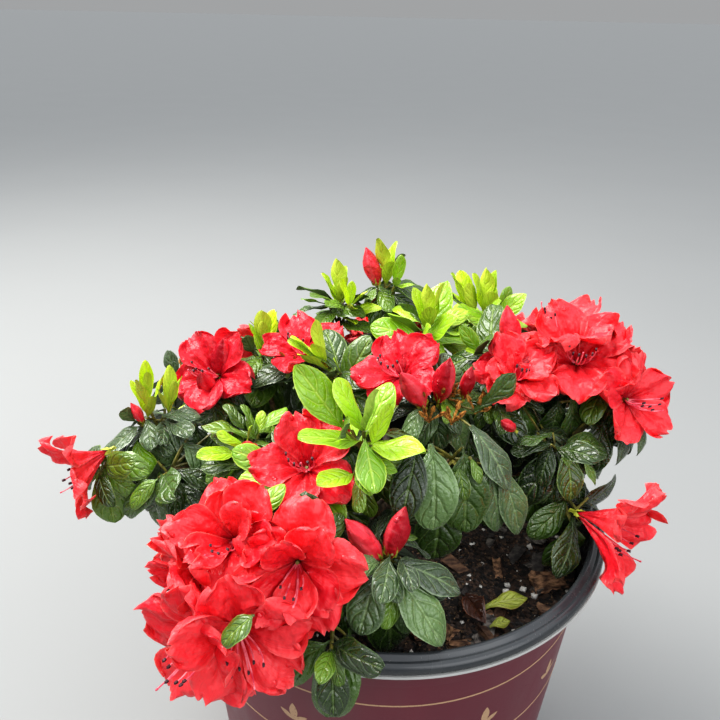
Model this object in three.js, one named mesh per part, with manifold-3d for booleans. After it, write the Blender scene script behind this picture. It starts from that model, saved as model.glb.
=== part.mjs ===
// Azalea shrub in its nursery pot: pot, root ball, short trunk, boughs and masses of leaves and blossom.
// Millimetres, +Z up, origin at the centre of the pot's flat underside; the side seen first faces -Y.

import * as THREE from 'three';
import { mergeVertices } from 'three/addons/utils/BufferGeometryUtils.js';
import Module from 'manifold-3d';

const wasm = await Module();
wasm.setup();
const { Manifold, Mesh: ManifoldMesh } = wasm;

const TAU = 2 * Math.PI;
const DEG = Math.PI / 180;
const GOLDEN_TURN = 137.5 * DEG;
const GAP = 0.3;

// Pot: a number 3 nursery container, 11 inches over the rolled rim and 9.5 inches tall.
const POT = {
  height: 240,
  rimRadius: 140,
  rimInner: 130,
  rimDepth: 10,
  lip: 3,
  wallTopRadius: 132,
  footRadius: 113,
  footRound: 6,
  wall: 2.5,
  floor: 3,
  stepHeight: 214,
  step: 1.2,
  notches: 8,
  notchRadius: 11,
  segments: 36,
};

const SOIL = { level: 212, wave: 3.5, flatRadius: 26, rings: [60, 95] };

// Trunk: root flare, taper and a slight lean, from the flat cut at soil level to the fork.
const TRUNK = {
  height: 42,
  flareRadius: 15,
  radius: 8.5,
  topRadius: 6.5,
  flareHeight: 5,
  lean: [3, 4],
  sides: 10,
  steps: 7,
};

const BOUGH = {
  sides: 6,
  steps: 4,
  bowAt: 0.45,
  bow: 5,
  steepBow: -4,
  steepWithin: 50,
  knuckle: 1.4,
  knuckleFrom: 0.95,
  stemPitch: 8,
  firstStem: 0.3,
};
const STEM = { radius: 2, tipRadius: 1.8, sides: 4, steps: 2, sag: 0.06, fork: 0.07 };
const TWIG = { radius: 1.15, tipRadius: 1.05, sides: 3 };

// How far a shoot, a flower and a leaf may differ from the size given for its kind.
const VARIED = { twig: [0.85, 1.15], flower: [0.92, 1.08], leaf: [0.9, 1.08], tilt: 0.1 };

// Each mass draws its chances from its own seed, so that a change to one leaves the others alone.
const SEED = { first: 101, pitch: 17 };

// Kinds of shoot that a mass can carry.
const LEAFY = 'leafy';
const FLUSH = 'flush';
const BROAD = 'broad';
const BLOOM = 'bloom';
const BUD = 'bud';

// Leaves of each kind of shoot: how many, their tilt from the twig, length and width from top to bottom.
const FURNISH = {
  leafy: { twig: 14, count: 5, tilt: [42, 98], length: [34, 46], width: 0.48, pitch: 2.2, droop: 0.16 },
  flush: { twig: 17, count: 5, tilt: [10, 36], length: [32, 27], width: 0.34, pitch: 2.4, droop: 0 },
  broad: { twig: 16, count: 7, tilt: [16, 78], length: [34, 42], width: 0.44, pitch: 2, droop: 0.08 },
  bud: { twig: 12, count: 3, tilt: [58, 84], length: [27, 33], width: 0.42, pitch: 1.9, droop: 0.1 },
  bloom: { twig: 16, count: 0, tilt: [0, 0], length: [0, 0], width: 0, pitch: 0, droop: 0 },
};

const LEAF = {
  thickness: 0.036,
  thickestAt: 0.22,
  bend: 0.1,
  fold: 0.05,
  petiole: 6,
  taper: 0.72,
  broadFrom: 38,
  broadWidth: 1.15,
  belowTip: 0.8,
};
const STEM_LEAVES = {
  count: 3,
  tilt: [84, 112],
  length: [38, 46],
  width: 0.46,
  along: [0.95, 0.3],
  droop: 0.22,
};
const FLOWER = {
  radius: 28,
  petals: 5,
  lobe: 0.2,
  depth: 0.5,
  throat: 0.42,
  throatDepth: 0.36,
  wall: 2,
  sunk: 4,
};
const BUD_SIZE = { length: 31, width: 12, sides: 5, rows: 3, sunk: 3 };

// Boughs: where each one leaves the trunk (height above the soil), where it ends, its root and tip radius.
const BOUGHS = {
  left: { leaves: 9, tip: [-112, 8, 258], radii: [3.6, 2.3] },
  left_back: { leaves: 18, tip: [-88, 62, 262], radii: [3.4, 2.2] },
  back_left: { leaves: 27, tip: [-42, 92, 283], radii: [3.2, 2.2] },
  back: { leaves: 9, tip: [-2, 118, 280], radii: [3.6, 2.3] },
  back_right: { leaves: 27, tip: [62, 92, 283], radii: [3.2, 2.2] },
  right_back: { leaves: 18, tip: [90, 48, 280], radii: [3.4, 2.2] },
  right: { leaves: 9, tip: [90, -8, 264], radii: [3.6, 2.3] },
  centre: { leaves: 38, tip: [34, 6, 284], radii: [3.0, 2.1] },
  centre_left: { leaves: 36, tip: [-36, 14, 280], radii: [3.0, 2.1] },
  front_right: { leaves: 18, tip: [24, -34, 276], radii: [3.2, 2.1] },
  front: { leaves: 27, tip: [-12, -60, 274], radii: [3.2, 2.1] },
  front_low: { leaves: 9, tip: [-30, -84, 250], radii: [3.4, 2.2] },
  front_left: { leaves: 18, tip: [-52, -66, 262], radii: [3.4, 2.2] },
};

// Masses: the bough that carries each, where its stem ends, which way its shoots face, and what they carry.
const MASSES = [
  { name: 'right_big_bloom', bough: 'right_back', heart: [118, 40, 322], facing: [0.15, -0.35, 1],
    spread: 56, turn: 90, shoots: [BLOOM, BLOOM, LEAFY, LEAFY] },
  { name: 'right_open_bloom', bough: 'right', heart: [142, 14, 308], facing: [0.35, -0.75, 0.5],
    spread: 70, turn: 200, shoots: [BLOOM, LEAFY, LEAFY] },
  { name: 'front_left_high', bough: 'front_left', heart: [-80, -98, 280], facing: [-0.15, -0.6, 0.6],
    spread: 78, turn: 285, shoots: [BLOOM, LEAFY, BLOOM] },
  { name: 'front_left_low', bough: 'front_left', heart: [-84, -130, 256], facing: [-0.3, -0.8, -0.1],
    spread: 70, turn: 250, shoots: [BLOOM, BLOOM, LEAFY] },
  { name: 'front_bloom', bough: 'front_low', heart: [-33, -106, 282], facing: [0.1, -0.85, 0.4],
    spread: 52, turn: 200, shoots: [BLOOM, LEAFY, LEAFY] },
  { name: 'front_flush', bough: 'front', heart: [-18, -62, 316], facing: [0, -0.3, 1],
    spread: 66, turn: 90, shoots: [BROAD, LEAFY, LEAFY] },
  { name: 'centre_fan', bough: 'front_right', heart: [34, -50, 295], facing: [0.1, -0.9, 0.25],
    spread: 50, turn: 250, shoots: [LEAFY, LEAFY, LEAFY] },
  { name: 'front_buds', bough: 'front', heart: [-4, -98, 268], facing: [0.05, -0.65, 0.65],
    spread: 56, turn: 20, shoots: [BUD, BUD, LEAFY, LEAFY] },
  { name: 'centre_buds', bough: 'centre', heart: [24, -2, 314], facing: [0, -0.25, 1],
    spread: 50, turn: -5, shoots: [BUD, BUD, BLOOM, LEAFY] },
  { name: 'centre_bloom', bough: 'centre', heart: [62, 8, 308], facing: [0.15, -0.4, 1],
    spread: 64, turn: 200, shoots: [BLOOM, LEAFY, BUD] },
  { name: 'centre_left_leaves', bough: 'centre_left', heart: [-32, 22, 310], facing: [-0.1, -0.35, 1],
    spread: 58, turn: 90, shoots: [LEAFY, FLUSH, LEAFY] },
  { name: 'centre_left_bloom', bough: 'front_left', heart: [-48, -50, 288], facing: [-0.1, -0.5, 0.8],
    spread: 64, turn: 60, shoots: [BLOOM, BROAD, LEAFY] },
  { name: 'far_left_rosette', bough: 'left', heart: [-156, 20, 274], facing: [-0.15, -0.1, 1],
    spread: 62, turn: 0, shoots: [FLUSH, LEAFY, LEAFY, FLUSH] },
  { name: 'far_left_bloom', bough: 'left', heart: [-184, -4, 266], facing: [-0.6, -0.75, 0.05],
    spread: 50, turn: 270, shoots: [BLOOM, LEAFY] },
  { name: 'left_leaves', bough: 'left', heart: [-140, -12, 266], facing: [-0.3, -0.8, 0.1],
    spread: 62, turn: 180, shoots: [LEAFY, LEAFY] },
  { name: 'left_bloom', bough: 'left_back', heart: [-124, 66, 284], facing: [-0.3, -0.3, 0.9],
    spread: 60, turn: -50, shoots: [BLOOM, BUD, LEAFY, BUD] },
  { name: 'left_flush', bough: 'left_back', heart: [-94, 90, 288], facing: [0.05, 0, 1],
    spread: 58, turn: 200, shoots: [FLUSH, LEAFY, LEAFY] },
  { name: 'left_inner', bough: 'left', heart: [-88, -18, 280], facing: [-0.1, -0.5, 0.8],
    spread: 60, turn: 160, shoots: [LEAFY, BUD, LEAFY] },
  { name: 'back_left_flush', bough: 'back_left', heart: [-38, 128, 314], facing: [-0.05, 0.1, 1],
    spread: 54, turn: 120, shoots: [FLUSH, LEAFY, FLUSH] },
  { name: 'back_inner_bloom', bough: 'back_left', heart: [-58, 66, 300], facing: [-0.2, -0.3, 1],
    spread: 62, turn: 180, shoots: [BLOOM, LEAFY, LEAFY] },
  { name: 'back_flush', bough: 'back', heart: [-2, 138, 330], facing: [-0.05, 0.1, 1],
    spread: 50, turn: 120, shoots: [FLUSH, BUD, LEAFY] },
  { name: 'right_back_flush', bough: 'back_right', heart: [72, 110, 316], facing: [0, 0.05, 1],
    spread: 52, turn: 120, shoots: [FLUSH, FLUSH, LEAFY] },
  { name: 'centre_back_flush', bough: 'back_right', heart: [26, 84, 316], facing: [0, -0.1, 1],
    spread: 56, turn: 60, shoots: [FLUSH, LEAFY, LEAFY] },
  { name: 'right_bud', bough: 'right_back', heart: [72, 40, 324], facing: [-0.15, -0.1, 1],
    spread: 56, turn: 160, shoots: [BUD, LEAFY] },
  { name: 'right_leaves', bough: 'right', heart: [98, -22, 290], facing: [0.25, -0.6, 0.7],
    spread: 58, turn: 200, shoots: [LEAFY, LEAFY] },
  { name: 'right_low_bloom', bough: 'right', heart: [118, -45, 268], facing: [0.45, -0.85, 0.1],
    spread: 62, turn: 120, shoots: [BLOOM, LEAFY] },
  { name: 'front_rim_leaves', bough: 'front_low', heart: [-32, -126, 252], facing: [0, -0.9, -0.1],
    spread: 40, turn: 0, shoots: [LEAFY] },
  { name: 'back_left_low', bough: 'back_left', heart: [-98, 138, 264], facing: [-0.45, 0.85, 0.05],
    spread: 66, turn: 60, shoots: [BLOOM, LEAFY, LEAFY, FLUSH] },
  { name: 'back_low', bough: 'back', heart: [6, 166, 272], facing: [0, 1, 0.25],
    spread: 66, turn: 0, shoots: [BLOOM, LEAFY, LEAFY, BLOOM] },
  { name: 'back_left_leaves', bough: 'back', heart: [-48, 158, 264], facing: [-0.3, 0.8, 0.4],
    spread: 60, turn: 90, shoots: [LEAFY, FLUSH, LEAFY] },
  { name: 'back_right_low', bough: 'back_right', heart: [108, 134, 276], facing: [0.5, 0.8, 0.3],
    spread: 66, turn: 0, shoots: [LEAFY, BLOOM, FLUSH, LEAFY] },
  { name: 'right_side', bough: 'right_back', heart: [154, 78, 278], facing: [0.85, 0.35, 0.4],
    spread: 66, turn: 90, shoots: [BLOOM, LEAFY, LEAFY] },
  { name: 'left_side', bough: 'left_back', heart: [-150, 98, 266], facing: [-0.7, 0.5, 0.5],
    spread: 64, turn: 45, shoots: [LEAFY, BUD, LEAFY] },
];

const FINISH = {
  pot: { color: 0x5f323c, roughness: 0.55 },
  soil: { color: 0x2b211b, roughness: 1 },
  wood: { color: 0x6b5a45, roughness: 0.9 },
  foliage: { color: 0x3f5f34, roughness: 0.6 },
};

// A repeatable row of draws between 0 and 1.
class Draws {
  constructor(seed) {
    this.state = seed >>> 0;
  }

  next() {
    this.state = (Math.imul(this.state, 1664525) + 1013904223) >>> 0;
    return this.state / 4294967296;
  }

  between(low, high) {
    return low + (high - low) * this.next();
  }
}

const vector = (values) => new THREE.Vector3(...values);
const mix = ([low, high], share) => low + (high - low) * share;

// A closed solid from a three.js geometry, its shared vertices merged.
function solidOf(geometry) {
  geometry.deleteAttribute('normal');
  geometry.deleteAttribute('uv');
  const merged = mergeVertices(geometry, 1e-4);
  return new Manifold(new ManifoldMesh({
    numProp: 3,
    vertProperties: new Float32Array(merged.attributes.position.array),
    triVerts: new Uint32Array(merged.index.array),
  }));
}

function geometryOf(solid) {
  const mesh = solid.getMesh();
  const geometry = new THREE.BufferGeometry();
  geometry.setAttribute('position', new THREE.BufferAttribute(mesh.vertProperties, 3));
  geometry.setIndex(new THREE.BufferAttribute(mesh.triVerts, 1));
  geometry.computeVertexNormals();
  return geometry;
}

// Moves every vertex of a geometry by a function of its place.
function reshape(geometry, place) {
  const positions = geometry.attributes.position;
  const point = new THREE.Vector3();
  for (let i = 0; i < positions.count; i += 1) {
    place(point.fromBufferAttribute(positions, i));
    positions.setXYZ(i, point.x, point.y, point.z);
  }
  return geometry;
}

// A closed round form turned about +Z; the profile runs from the axis at the bottom back to the axis.
function turned(profile, segments) {
  const points = profile.map(([radius, height]) => new THREE.Vector2(radius, height));
  return new THREE.LatheGeometry(points, segments).rotateX(Math.PI / 2);
}

// A tapering limb of round section along a curve, made fatter and longer all round by an allowance.
function limb(curve, radiusAt, sides, steps, grow = 0) {
  const { tangents, normals, binormals } = curve.computeFrenetFrames(steps);
  const geometry = new THREE.CylinderGeometry(1, 1, 1, sides, steps);
  return reshape(geometry, (point) => {
    const ring = Math.round((point.y + 0.5) * steps);
    const radius = radiusAt(ring / steps) + grow / Math.cos(Math.PI / sides);
    const longer = ring === steps ? grow : 0;
    const offset = normals[ring].clone().multiplyScalar(point.x * radius)
      .addScaledVector(binormals[ring], -point.z * radius)
      .addScaledVector(tangents[ring], longer);
    point.copy(curve.getPoint(ring / steps)).add(offset);
  });
}

// Axes for something that grows along a direction, with its upper side turned towards another.
function axesAlong(direction, upper) {
  const along = direction.clone().normalize();
  const across = upper.clone().cross(along);
  if (across.lengthSq() < 1e-8) across.set(1, 0, 0).cross(along);
  across.normalize();
  return { along, across, upper: along.clone().cross(across) };
}

// A direction that leans away from an axis by an angle, turned round it by another.
function leaning(axis, lean, turn) {
  const helper = Math.abs(axis.z) > 0.9 ? new THREE.Vector3(1, 0, 0) : new THREE.Vector3(0, 0, 1);
  const side = helper.cross(axis).normalize();
  const other = axis.clone().cross(side);
  return axis.clone().multiplyScalar(Math.cos(lean))
    .addScaledVector(side, Math.sin(lean) * Math.cos(turn))
    .addScaledVector(other, Math.sin(lean) * Math.sin(turn));
}

function placed(geometry, root, { along, across, upper }) {
  const matrix = new THREE.Matrix4().makeBasis(along, across, upper).setPosition(root);
  return geometry.applyMatrix4(matrix);
}

// A leaf: a thin lens of six sides, thickest near its root, folded along its midrib and bent down.
function leafSolid(root, direction, upper, length, width) {
  const sides = length > LEAF.broadFrom ? 6 : 4;
  const lens = new THREE.SphereGeometry(0.5, sides, 2).rotateX(Math.PI / 2).translate(0.5, 0, 0);
  reshape(lens, (point) => {
    const onMidrib = Math.abs(point.z) > 0.1;
    const share = onMidrib ? LEAF.thickestAt : point.x ** LEAF.taper;
    const fold = onMidrib ? -LEAF.fold * width : 0;
    point.x = share * length;
    point.y *= width * (sides === 6 ? LEAF.broadWidth : 1);
    point.z = point.z * LEAF.thickness * length + fold - LEAF.bend * length * share * share;
  });
  return solidOf(placed(lens, root, axesAlong(direction, upper)));
}

// An open blossom: a funnel with five lobes, its throat at the root.
function flowerSolid(root, direction, turn, radius) {
  const throat = FLOWER.throat * radius;
  const dish = turned([
    [0, 0],
    [throat, FLOWER.throatDepth * radius],
    [radius, FLOWER.depth * radius],
    [throat, FLOWER.throatDepth * radius + FLOWER.wall],
    [0, FLOWER.wall * 2],
  ], 3 * FLOWER.petals);
  reshape(dish, (point) => {
    const angle = Math.atan2(point.y, point.x);
    const reach = Math.hypot(point.x, point.y) / radius;
    const lobe = 1 + FLOWER.lobe * reach * Math.sin(FLOWER.petals * angle);
    point.x *= lobe;
    point.y *= lobe;
  });
  dish.rotateZ(turn).rotateY(Math.PI / 2);
  return solidOf(placed(dish, root, axesAlong(direction, new THREE.Vector3(0, 0, 1))));
}

function budSolid(root, direction, length) {
  const spindle = new THREE.SphereGeometry(0.5, BUD_SIZE.sides, BUD_SIZE.rows).rotateZ(-Math.PI / 2);
  spindle.translate(0.5, 0, 0).scale(length, BUD_SIZE.width, BUD_SIZE.width);
  return solidOf(placed(spindle, root, axesAlong(direction, new THREE.Vector3(0, 0, 1))));
}

function buildPot() {
  const foot = POT.footRadius;
  const slope = (POT.wallTopRadius - foot) / (POT.height - POT.rimDepth);
  const outer = (height) => foot + slope * height - (height < POT.stepHeight ? POT.step : 0);
  const lipTop = POT.height - POT.rimDepth + POT.lip;
  const shell = turned([
    [0, 0],
    [foot - POT.footRound, 0],
    [foot - POT.footRound * 0.3, POT.footRound * 0.3],
    [outer(POT.footRound), POT.footRound],
    [outer(POT.stepHeight - 0.1), POT.stepHeight - 1],
    [outer(POT.stepHeight), POT.stepHeight],
    [POT.wallTopRadius, POT.height - POT.rimDepth],
    [POT.rimRadius, POT.height - POT.rimDepth],
    [POT.rimRadius, lipTop],
    [POT.rimRadius - 1.5, POT.height - 2.5],
    [(POT.rimRadius + POT.rimInner) / 2, POT.height],
    [POT.rimInner, POT.height - 3],
    [POT.wallTopRadius - POT.wall - POT.step, POT.height - POT.rimDepth],
    [foot - POT.wall - POT.step, POT.floor],
    [0, POT.floor],
  ], POT.segments);
  let pot = solidOf(shell);
  for (let i = 0; i < POT.notches; i += 1) {
    const notch = new THREE.CylinderGeometry(POT.notchRadius, POT.notchRadius, 24, 8)
      .rotateZ(Math.PI / 2).translate(foot + 2, 0, 1).rotateZ((i + 0.5) * TAU / POT.notches);
    pot = pot.subtract(solidOf(notch));
  }
  return pot;
}

// The root ball that fills the pot, its top gently uneven and flat about the trunk.
function buildSoil() {
  const slope = (POT.wallTopRadius - POT.footRadius) / (POT.height - POT.rimDepth);
  const inner = (height) => POT.footRadius - POT.wall - POT.step + slope * height - 2 * GAP;
  const bottom = POT.floor + GAP;
  const ball = turned([
    [0, bottom],
    [inner(0) - 1, bottom],
    [inner(SOIL.level), SOIL.level],
    ...SOIL.rings.toReversed().map((radius) => [radius, SOIL.level]),
    [SOIL.flatRadius, SOIL.level],
    [0, SOIL.level],
  ], POT.segments);
  reshape(ball, (point) => {
    const radius = Math.hypot(point.x, point.y);
    const away = (radius - SOIL.flatRadius) / (inner(SOIL.level) - SOIL.flatRadius);
    if (point.z < SOIL.level - 1 || away < 0.01) return;
    const angle = Math.atan2(point.y, point.x);
    point.z += SOIL.wave * Math.sin(3 * angle + radius / 17) * Math.sin(Math.PI * away) - 3 * away;
  });
  return solidOf(ball);
}

const trunkFoot = new THREE.Vector3(0, 0, SOIL.level + GAP);

function trunkPoint(height) {
  const share = height / TRUNK.height;
  return new THREE.Vector3(TRUNK.lean[0] * share, TRUNK.lean[1] * share, 0).add(trunkFoot)
    .setZ(trunkFoot.z + height);
}

// The trunk, or the same trunk a little fatter to cut its neighbours clear of it.
function trunkSolid(grow) {
  const curve = new THREE.LineCurve3(trunkPoint(0), trunkPoint(TRUNK.height));
  const radiusAt = (share) => {
    const flare = (TRUNK.flareRadius - TRUNK.radius) * Math.exp(-share * TRUNK.height / TRUNK.flareHeight);
    return mix([TRUNK.radius, TRUNK.topRadius], share) + flare;
  };
  const column = limb(curve, radiusAt, TRUNK.sides, TRUNK.steps, grow);
  const firstRing = trunkFoot.z + TRUNK.height / TRUNK.steps / 2;
  reshape(column, (point) => {
    if (point.z < firstRing) point.z = trunkFoot.z;
  });
  return solidOf(column);
}

function boughCurve({ leaves, tip }) {
  const start = trunkPoint(leaves);
  const end = vector(tip);
  const steep = Math.hypot(end.x - start.x, end.y - start.y) < BOUGH.steepWithin;
  const rise = steep ? BOUGH.steepBow : BOUGH.bow;
  const bow = start.clone().lerp(end, BOUGH.bowAt).add(new THREE.Vector3(0, 0, rise));
  return new THREE.QuadraticBezierCurve3(start, bow, end);
}

// A bough, thickened into a knuckle where its twigs part; grown a little fatter to cut stems clear.
function boughSolid(row, grow) {
  const curve = boughCurve(row);
  const radiusAt = (share) => {
    const knuckle = share > BOUGH.knuckleFrom ? BOUGH.knuckle : 1;
    return mix(row.radii, share) * knuckle;
  };
  return solidOf(limb(curve, radiusAt, BOUGH.sides, BOUGH.steps, grow));
}

// Everything already standing, so that nothing new comes within the gap of another node.
const standing = [];

function boxesMeet(first, second, margin) {
  return [0, 1, 2].every((axis) => first.min[axis] - margin < second.max[axis]
    && second.min[axis] - margin < first.max[axis]);
}

function isClear(solid, owner) {
  const box = solid.boundingBox();
  return standing.every((other) => other.owner === owner || !boxesMeet(box, other.box, GAP)
    || solid.minGap(other.solid, 2 * GAP) >= GAP);
}

function stand(solid, owner) {
  standing.push({ solid, owner, box: solid.boundingBox() });
}

// Whether something new in a mass runs through what that mass already holds.
function missesOwn(solid, owner) {
  const box = solid.boundingBox();
  return standing.every((other) => other.owner !== owner
    || !boxesMeet(box, other.box, 0) || solid.intersect(other.solid).isEmpty());
}

// The largest outer body of a fused mass, with any sealed hollow filled and loose scraps dropped.
function fuse(parts) {
  const bodies = Manifold.union(parts).decompose();
  return bodies.reduce((best, body) => (body.volume() > best.volume() ? body : best));
}

// A mass before it is furnished: its stem, and the twig, place and direction of each shoot.
function massFrame(row, i) {
  const draws = new Draws(SEED.first + SEED.pitch * i);
  const bough = boughCurve(BOUGHS[row.bough]);
  const rank = MASSES.filter((other) => other.bough === row.bough).indexOf(row);
  const start = bough.getPointAt(1 - (rank + BOUGH.firstStem) * BOUGH.stemPitch / bough.getLength());
  const heart = vector(row.heart);
  const facing = vector(row.facing).normalize();
  const sag = new THREE.Vector3(0, 0, -STEM.sag * start.distanceTo(heart));
  const bow = start.clone().lerp(heart, 0.5).add(sag);
  const stem = new THREE.QuadraticBezierCurve3(start, bow, heart);
  const phase = row.turn * DEG;
  const shoots = row.shoots.map((kind, k) => {
    const share = row.shoots.length > 1 ? k / (row.shoots.length - 1) : 0;
    const lean = row.spread * DEG * Math.sqrt(share);
    const direction = leaning(facing, lean, phase + k * GOLDEN_TURN);
    const reach = FURNISH[kind].twig * draws.between(...VARIED.twig);
    const fork = stem.getPoint(1 - STEM.fork * (k + 0.5));
    return { kind, direction, fork, tip: heart.clone().addScaledVector(direction, reach) };
  });
  return { row, draws, stem, heart, facing, shoots };
}

function stemSolid({ stem, row }) {
  const radiusAt = (share) => mix([STEM.radius, STEM.tipRadius], share);
  const whole = solidOf(limb(stem, radiusAt, STEM.sides, STEM.steps));
  return whole.subtract(boughSolid(BOUGHS[row.bough], GAP));
}

function twigSolid(from, to) {
  const curve = new THREE.LineCurve3(from, to);
  return solidOf(limb(curve, (share) => mix([TWIG.radius, TWIG.tipRadius], share), TWIG.sides, 1));
}

// Leaves set round an axis by the golden turn, from the youngest at the tip to the oldest below.
function leafPlaces(draws, tip, axis, rule) {
  const phase = draws.between(0, TAU);
  return Array.from({ length: rule.count }, (_, k) => {
    const share = rule.count > 1 ? k / (rule.count - 1) : 0;
    const tilt = mix(rule.tilt, share) * DEG + draws.between(-VARIED.tilt, VARIED.tilt);
    const direction = leaning(axis, tilt, phase + k * GOLDEN_TURN);
    direction.z -= rule.droop * share;
    direction.normalize();
    const length = mix(rule.length, share) * draws.between(...VARIED.leaf);
    const root = tip.clone().addScaledVector(axis, -LEAF.belowTip - rule.pitch * k);
    return { root, direction, length, width: length * rule.width };
  });
}

function stemLeafPlaces({ draws, stem }) {
  const phase = draws.between(0, TAU);
  return Array.from({ length: STEM_LEAVES.count }, (_, k) => {
    const share = k / (STEM_LEAVES.count - 1);
    const along = mix(STEM_LEAVES.along, share);
    const axis = stem.getTangent(along);
    const tilt = mix(STEM_LEAVES.tilt, share) * DEG;
    const direction = leaning(axis, tilt, phase + k * GOLDEN_TURN);
    direction.z -= STEM_LEAVES.droop;
    direction.normalize();
    const length = mix(STEM_LEAVES.length, share) * draws.between(...VARIED.leaf);
    return { root: stem.getPoint(along), direction, length, width: length * STEM_LEAVES.width };
  });
}

// Adds a leaf where it stays in the mass's own space and its blade crosses nothing there.
function addLeaf(owner, parts, place, axis) {
  const { root, direction, length, width } = place;
  const leaf = leafSolid(root, direction, axis, length, width);
  const bladeStart = root.clone().addScaledVector(direction, LEAF.petiole);
  const blade = leafSolid(bladeStart, direction, axis, length - LEAF.petiole, width);
  if (!isClear(leaf, owner) || !missesOwn(blade, owner)) return;
  stand(leaf, owner);
  parts.push(leaf);
}

const group = new THREE.Group();

function addNode(name, solid, finish) {
  const material = new THREE.MeshStandardMaterial({ ...FINISH[finish], metalness: 0 });
  const mesh = new THREE.Mesh(geometryOf(solid), material);
  mesh.name = name;
  group.add(mesh);
}

const pot = buildPot();
const soil = buildSoil();
const trunk = trunkSolid(0);
stand(pot, 'pot');
stand(soil, 'soil');
stand(trunk, 'trunk');
addNode('pot', pot, 'pot');
addNode('soil', soil, 'soil');
addNode('trunk', trunk, 'wood');

const trunkCutter = trunkSolid(GAP);
for (const [name, row] of Object.entries(BOUGHS)) {
  const bough = boughSolid(row, 0).subtract(trunkCutter);
  stand(bough, row);
  addNode(`bough_${name}`, bough, 'wood');
}

const frames = MASSES.map(massFrame);
const partsOf = new Map(frames.map((frame) => [frame, []]));

// Stems and twigs first, then blossom and buds, then the leaves that still have room.
for (const frame of frames) {
  const parts = partsOf.get(frame);
  const stem = stemSolid(frame);
  stand(stem, frame);
  parts.push(stem);
  for (const shoot of frame.shoots) {
    const twig = twigSolid(shoot.fork, shoot.tip);
    shoot.grows = isClear(twig, frame);
    if (shoot.grows) {
      stand(twig, frame);
      parts.push(twig);
    }
  }
}

for (const frame of frames) {
  const parts = partsOf.get(frame);
  for (const shoot of frame.shoots) {
    shoot.size = frame.draws.between(...VARIED.flower);
    shoot.turn = frame.draws.between(0, TAU);
    if (!shoot.grows || (shoot.kind !== BLOOM && shoot.kind !== BUD)) continue;
    const isBloom = shoot.kind === BLOOM;
    const sunk = isBloom ? FLOWER.sunk : BUD_SIZE.sunk;
    const root = shoot.tip.clone().addScaledVector(shoot.direction, -sunk);
    const flower = isBloom
      ? flowerSolid(root, shoot.direction, shoot.turn, FLOWER.radius * shoot.size)
      : budSolid(root, shoot.direction, BUD_SIZE.length * shoot.size);
    if (!isClear(flower, frame)) continue;
    stand(flower, frame);
    parts.push(flower);
  }
}

for (const frame of frames) {
  const parts = partsOf.get(frame);
  for (const shoot of frame.shoots) {
    const places = leafPlaces(frame.draws, shoot.tip, shoot.direction, FURNISH[shoot.kind]);
    if (shoot.grows) places.forEach((place) => addLeaf(frame, parts, place, shoot.direction));
  }
  stemLeafPlaces(frame).forEach((place) => addLeaf(frame, parts, place, frame.facing));
  addNode(`foliage_${frame.row.name}`, fuse(parts), 'foliage');
}

export default group;
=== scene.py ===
"""Potted azalea shrub in bloom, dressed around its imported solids. Sizes are in millimetres by default."""

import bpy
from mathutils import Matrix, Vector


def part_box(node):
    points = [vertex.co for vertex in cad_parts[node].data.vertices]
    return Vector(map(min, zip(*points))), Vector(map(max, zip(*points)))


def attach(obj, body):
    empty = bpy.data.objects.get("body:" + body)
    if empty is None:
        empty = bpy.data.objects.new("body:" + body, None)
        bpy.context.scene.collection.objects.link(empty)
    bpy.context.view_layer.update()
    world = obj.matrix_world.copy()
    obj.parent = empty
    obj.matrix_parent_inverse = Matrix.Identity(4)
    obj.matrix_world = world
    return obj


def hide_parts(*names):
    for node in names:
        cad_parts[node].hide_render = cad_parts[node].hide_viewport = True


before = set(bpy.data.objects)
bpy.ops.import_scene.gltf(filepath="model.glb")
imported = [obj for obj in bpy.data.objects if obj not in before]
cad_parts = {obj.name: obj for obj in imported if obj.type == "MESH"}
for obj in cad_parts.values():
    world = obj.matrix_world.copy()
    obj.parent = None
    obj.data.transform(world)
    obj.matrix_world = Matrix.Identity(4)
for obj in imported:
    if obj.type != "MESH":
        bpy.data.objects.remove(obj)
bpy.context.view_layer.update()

import logging
import math
from collections.abc import Callable
from dataclasses import dataclass, field, replace
from enum import Enum
from functools import partial

import bmesh
import bpy
import numpy as np
from mathutils import Matrix, Vector, noise
from mathutils.bvhtree import BVHTree

LOG = logging.getLogger("azalea")

Array = np.ndarray
Pair = tuple[float, float]
Triple = tuple[float, float, float]

MM = 0.001
TAU = 2 * math.pi
GOLDEN_TURN = math.radians(137.5)
UP = np.array([0.0, 0.0, 1.0])
SIDEWAYS = np.array([1.0, 0.0, 0.0])

# The source's row of draws, the fineness of measuring along a curve, and how far raindrops lie apart.
DRAW_STEP, DRAW_SHIFT, DRAW_RANGE = 1664525, 1013904223, 2**32
CURVE_STEPS = 201
DROP_SPACING = 6.5


class Kind(Enum):
    """What a shoot carries."""

    LEAFY = "leafy"
    FLUSH = "flush"
    BROAD = "broad"
    BLOOM = "bloom"
    BUD = "bud"


class Tone(Enum):
    """The colour that a spray of leaves takes as a whole."""

    DARK = "dark"
    # Grey-green is partly the leaves' own greyer green and partly a painted sheen of the bright sky on wet
    # leaves that face up.
    GREY = "grey"
    MID = "mid"
    FRESH = "fresh"
    LIME = "lime"


@dataclass(frozen=True)
class LeafRule:
    """How the leaves of one kind of shoot are set, from the youngest at the tip to the oldest below.

    Lengths are in millimetres. Tilts, measured from the twig, are in degrees. The stretch is where leaves
    along a stem start and end, as shares of it.
    """

    twig: float
    count: int
    tilt: Pair
    length: Pair
    width: float
    pitch: float
    droop: float
    stretch: Pair = (0, 0)


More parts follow.
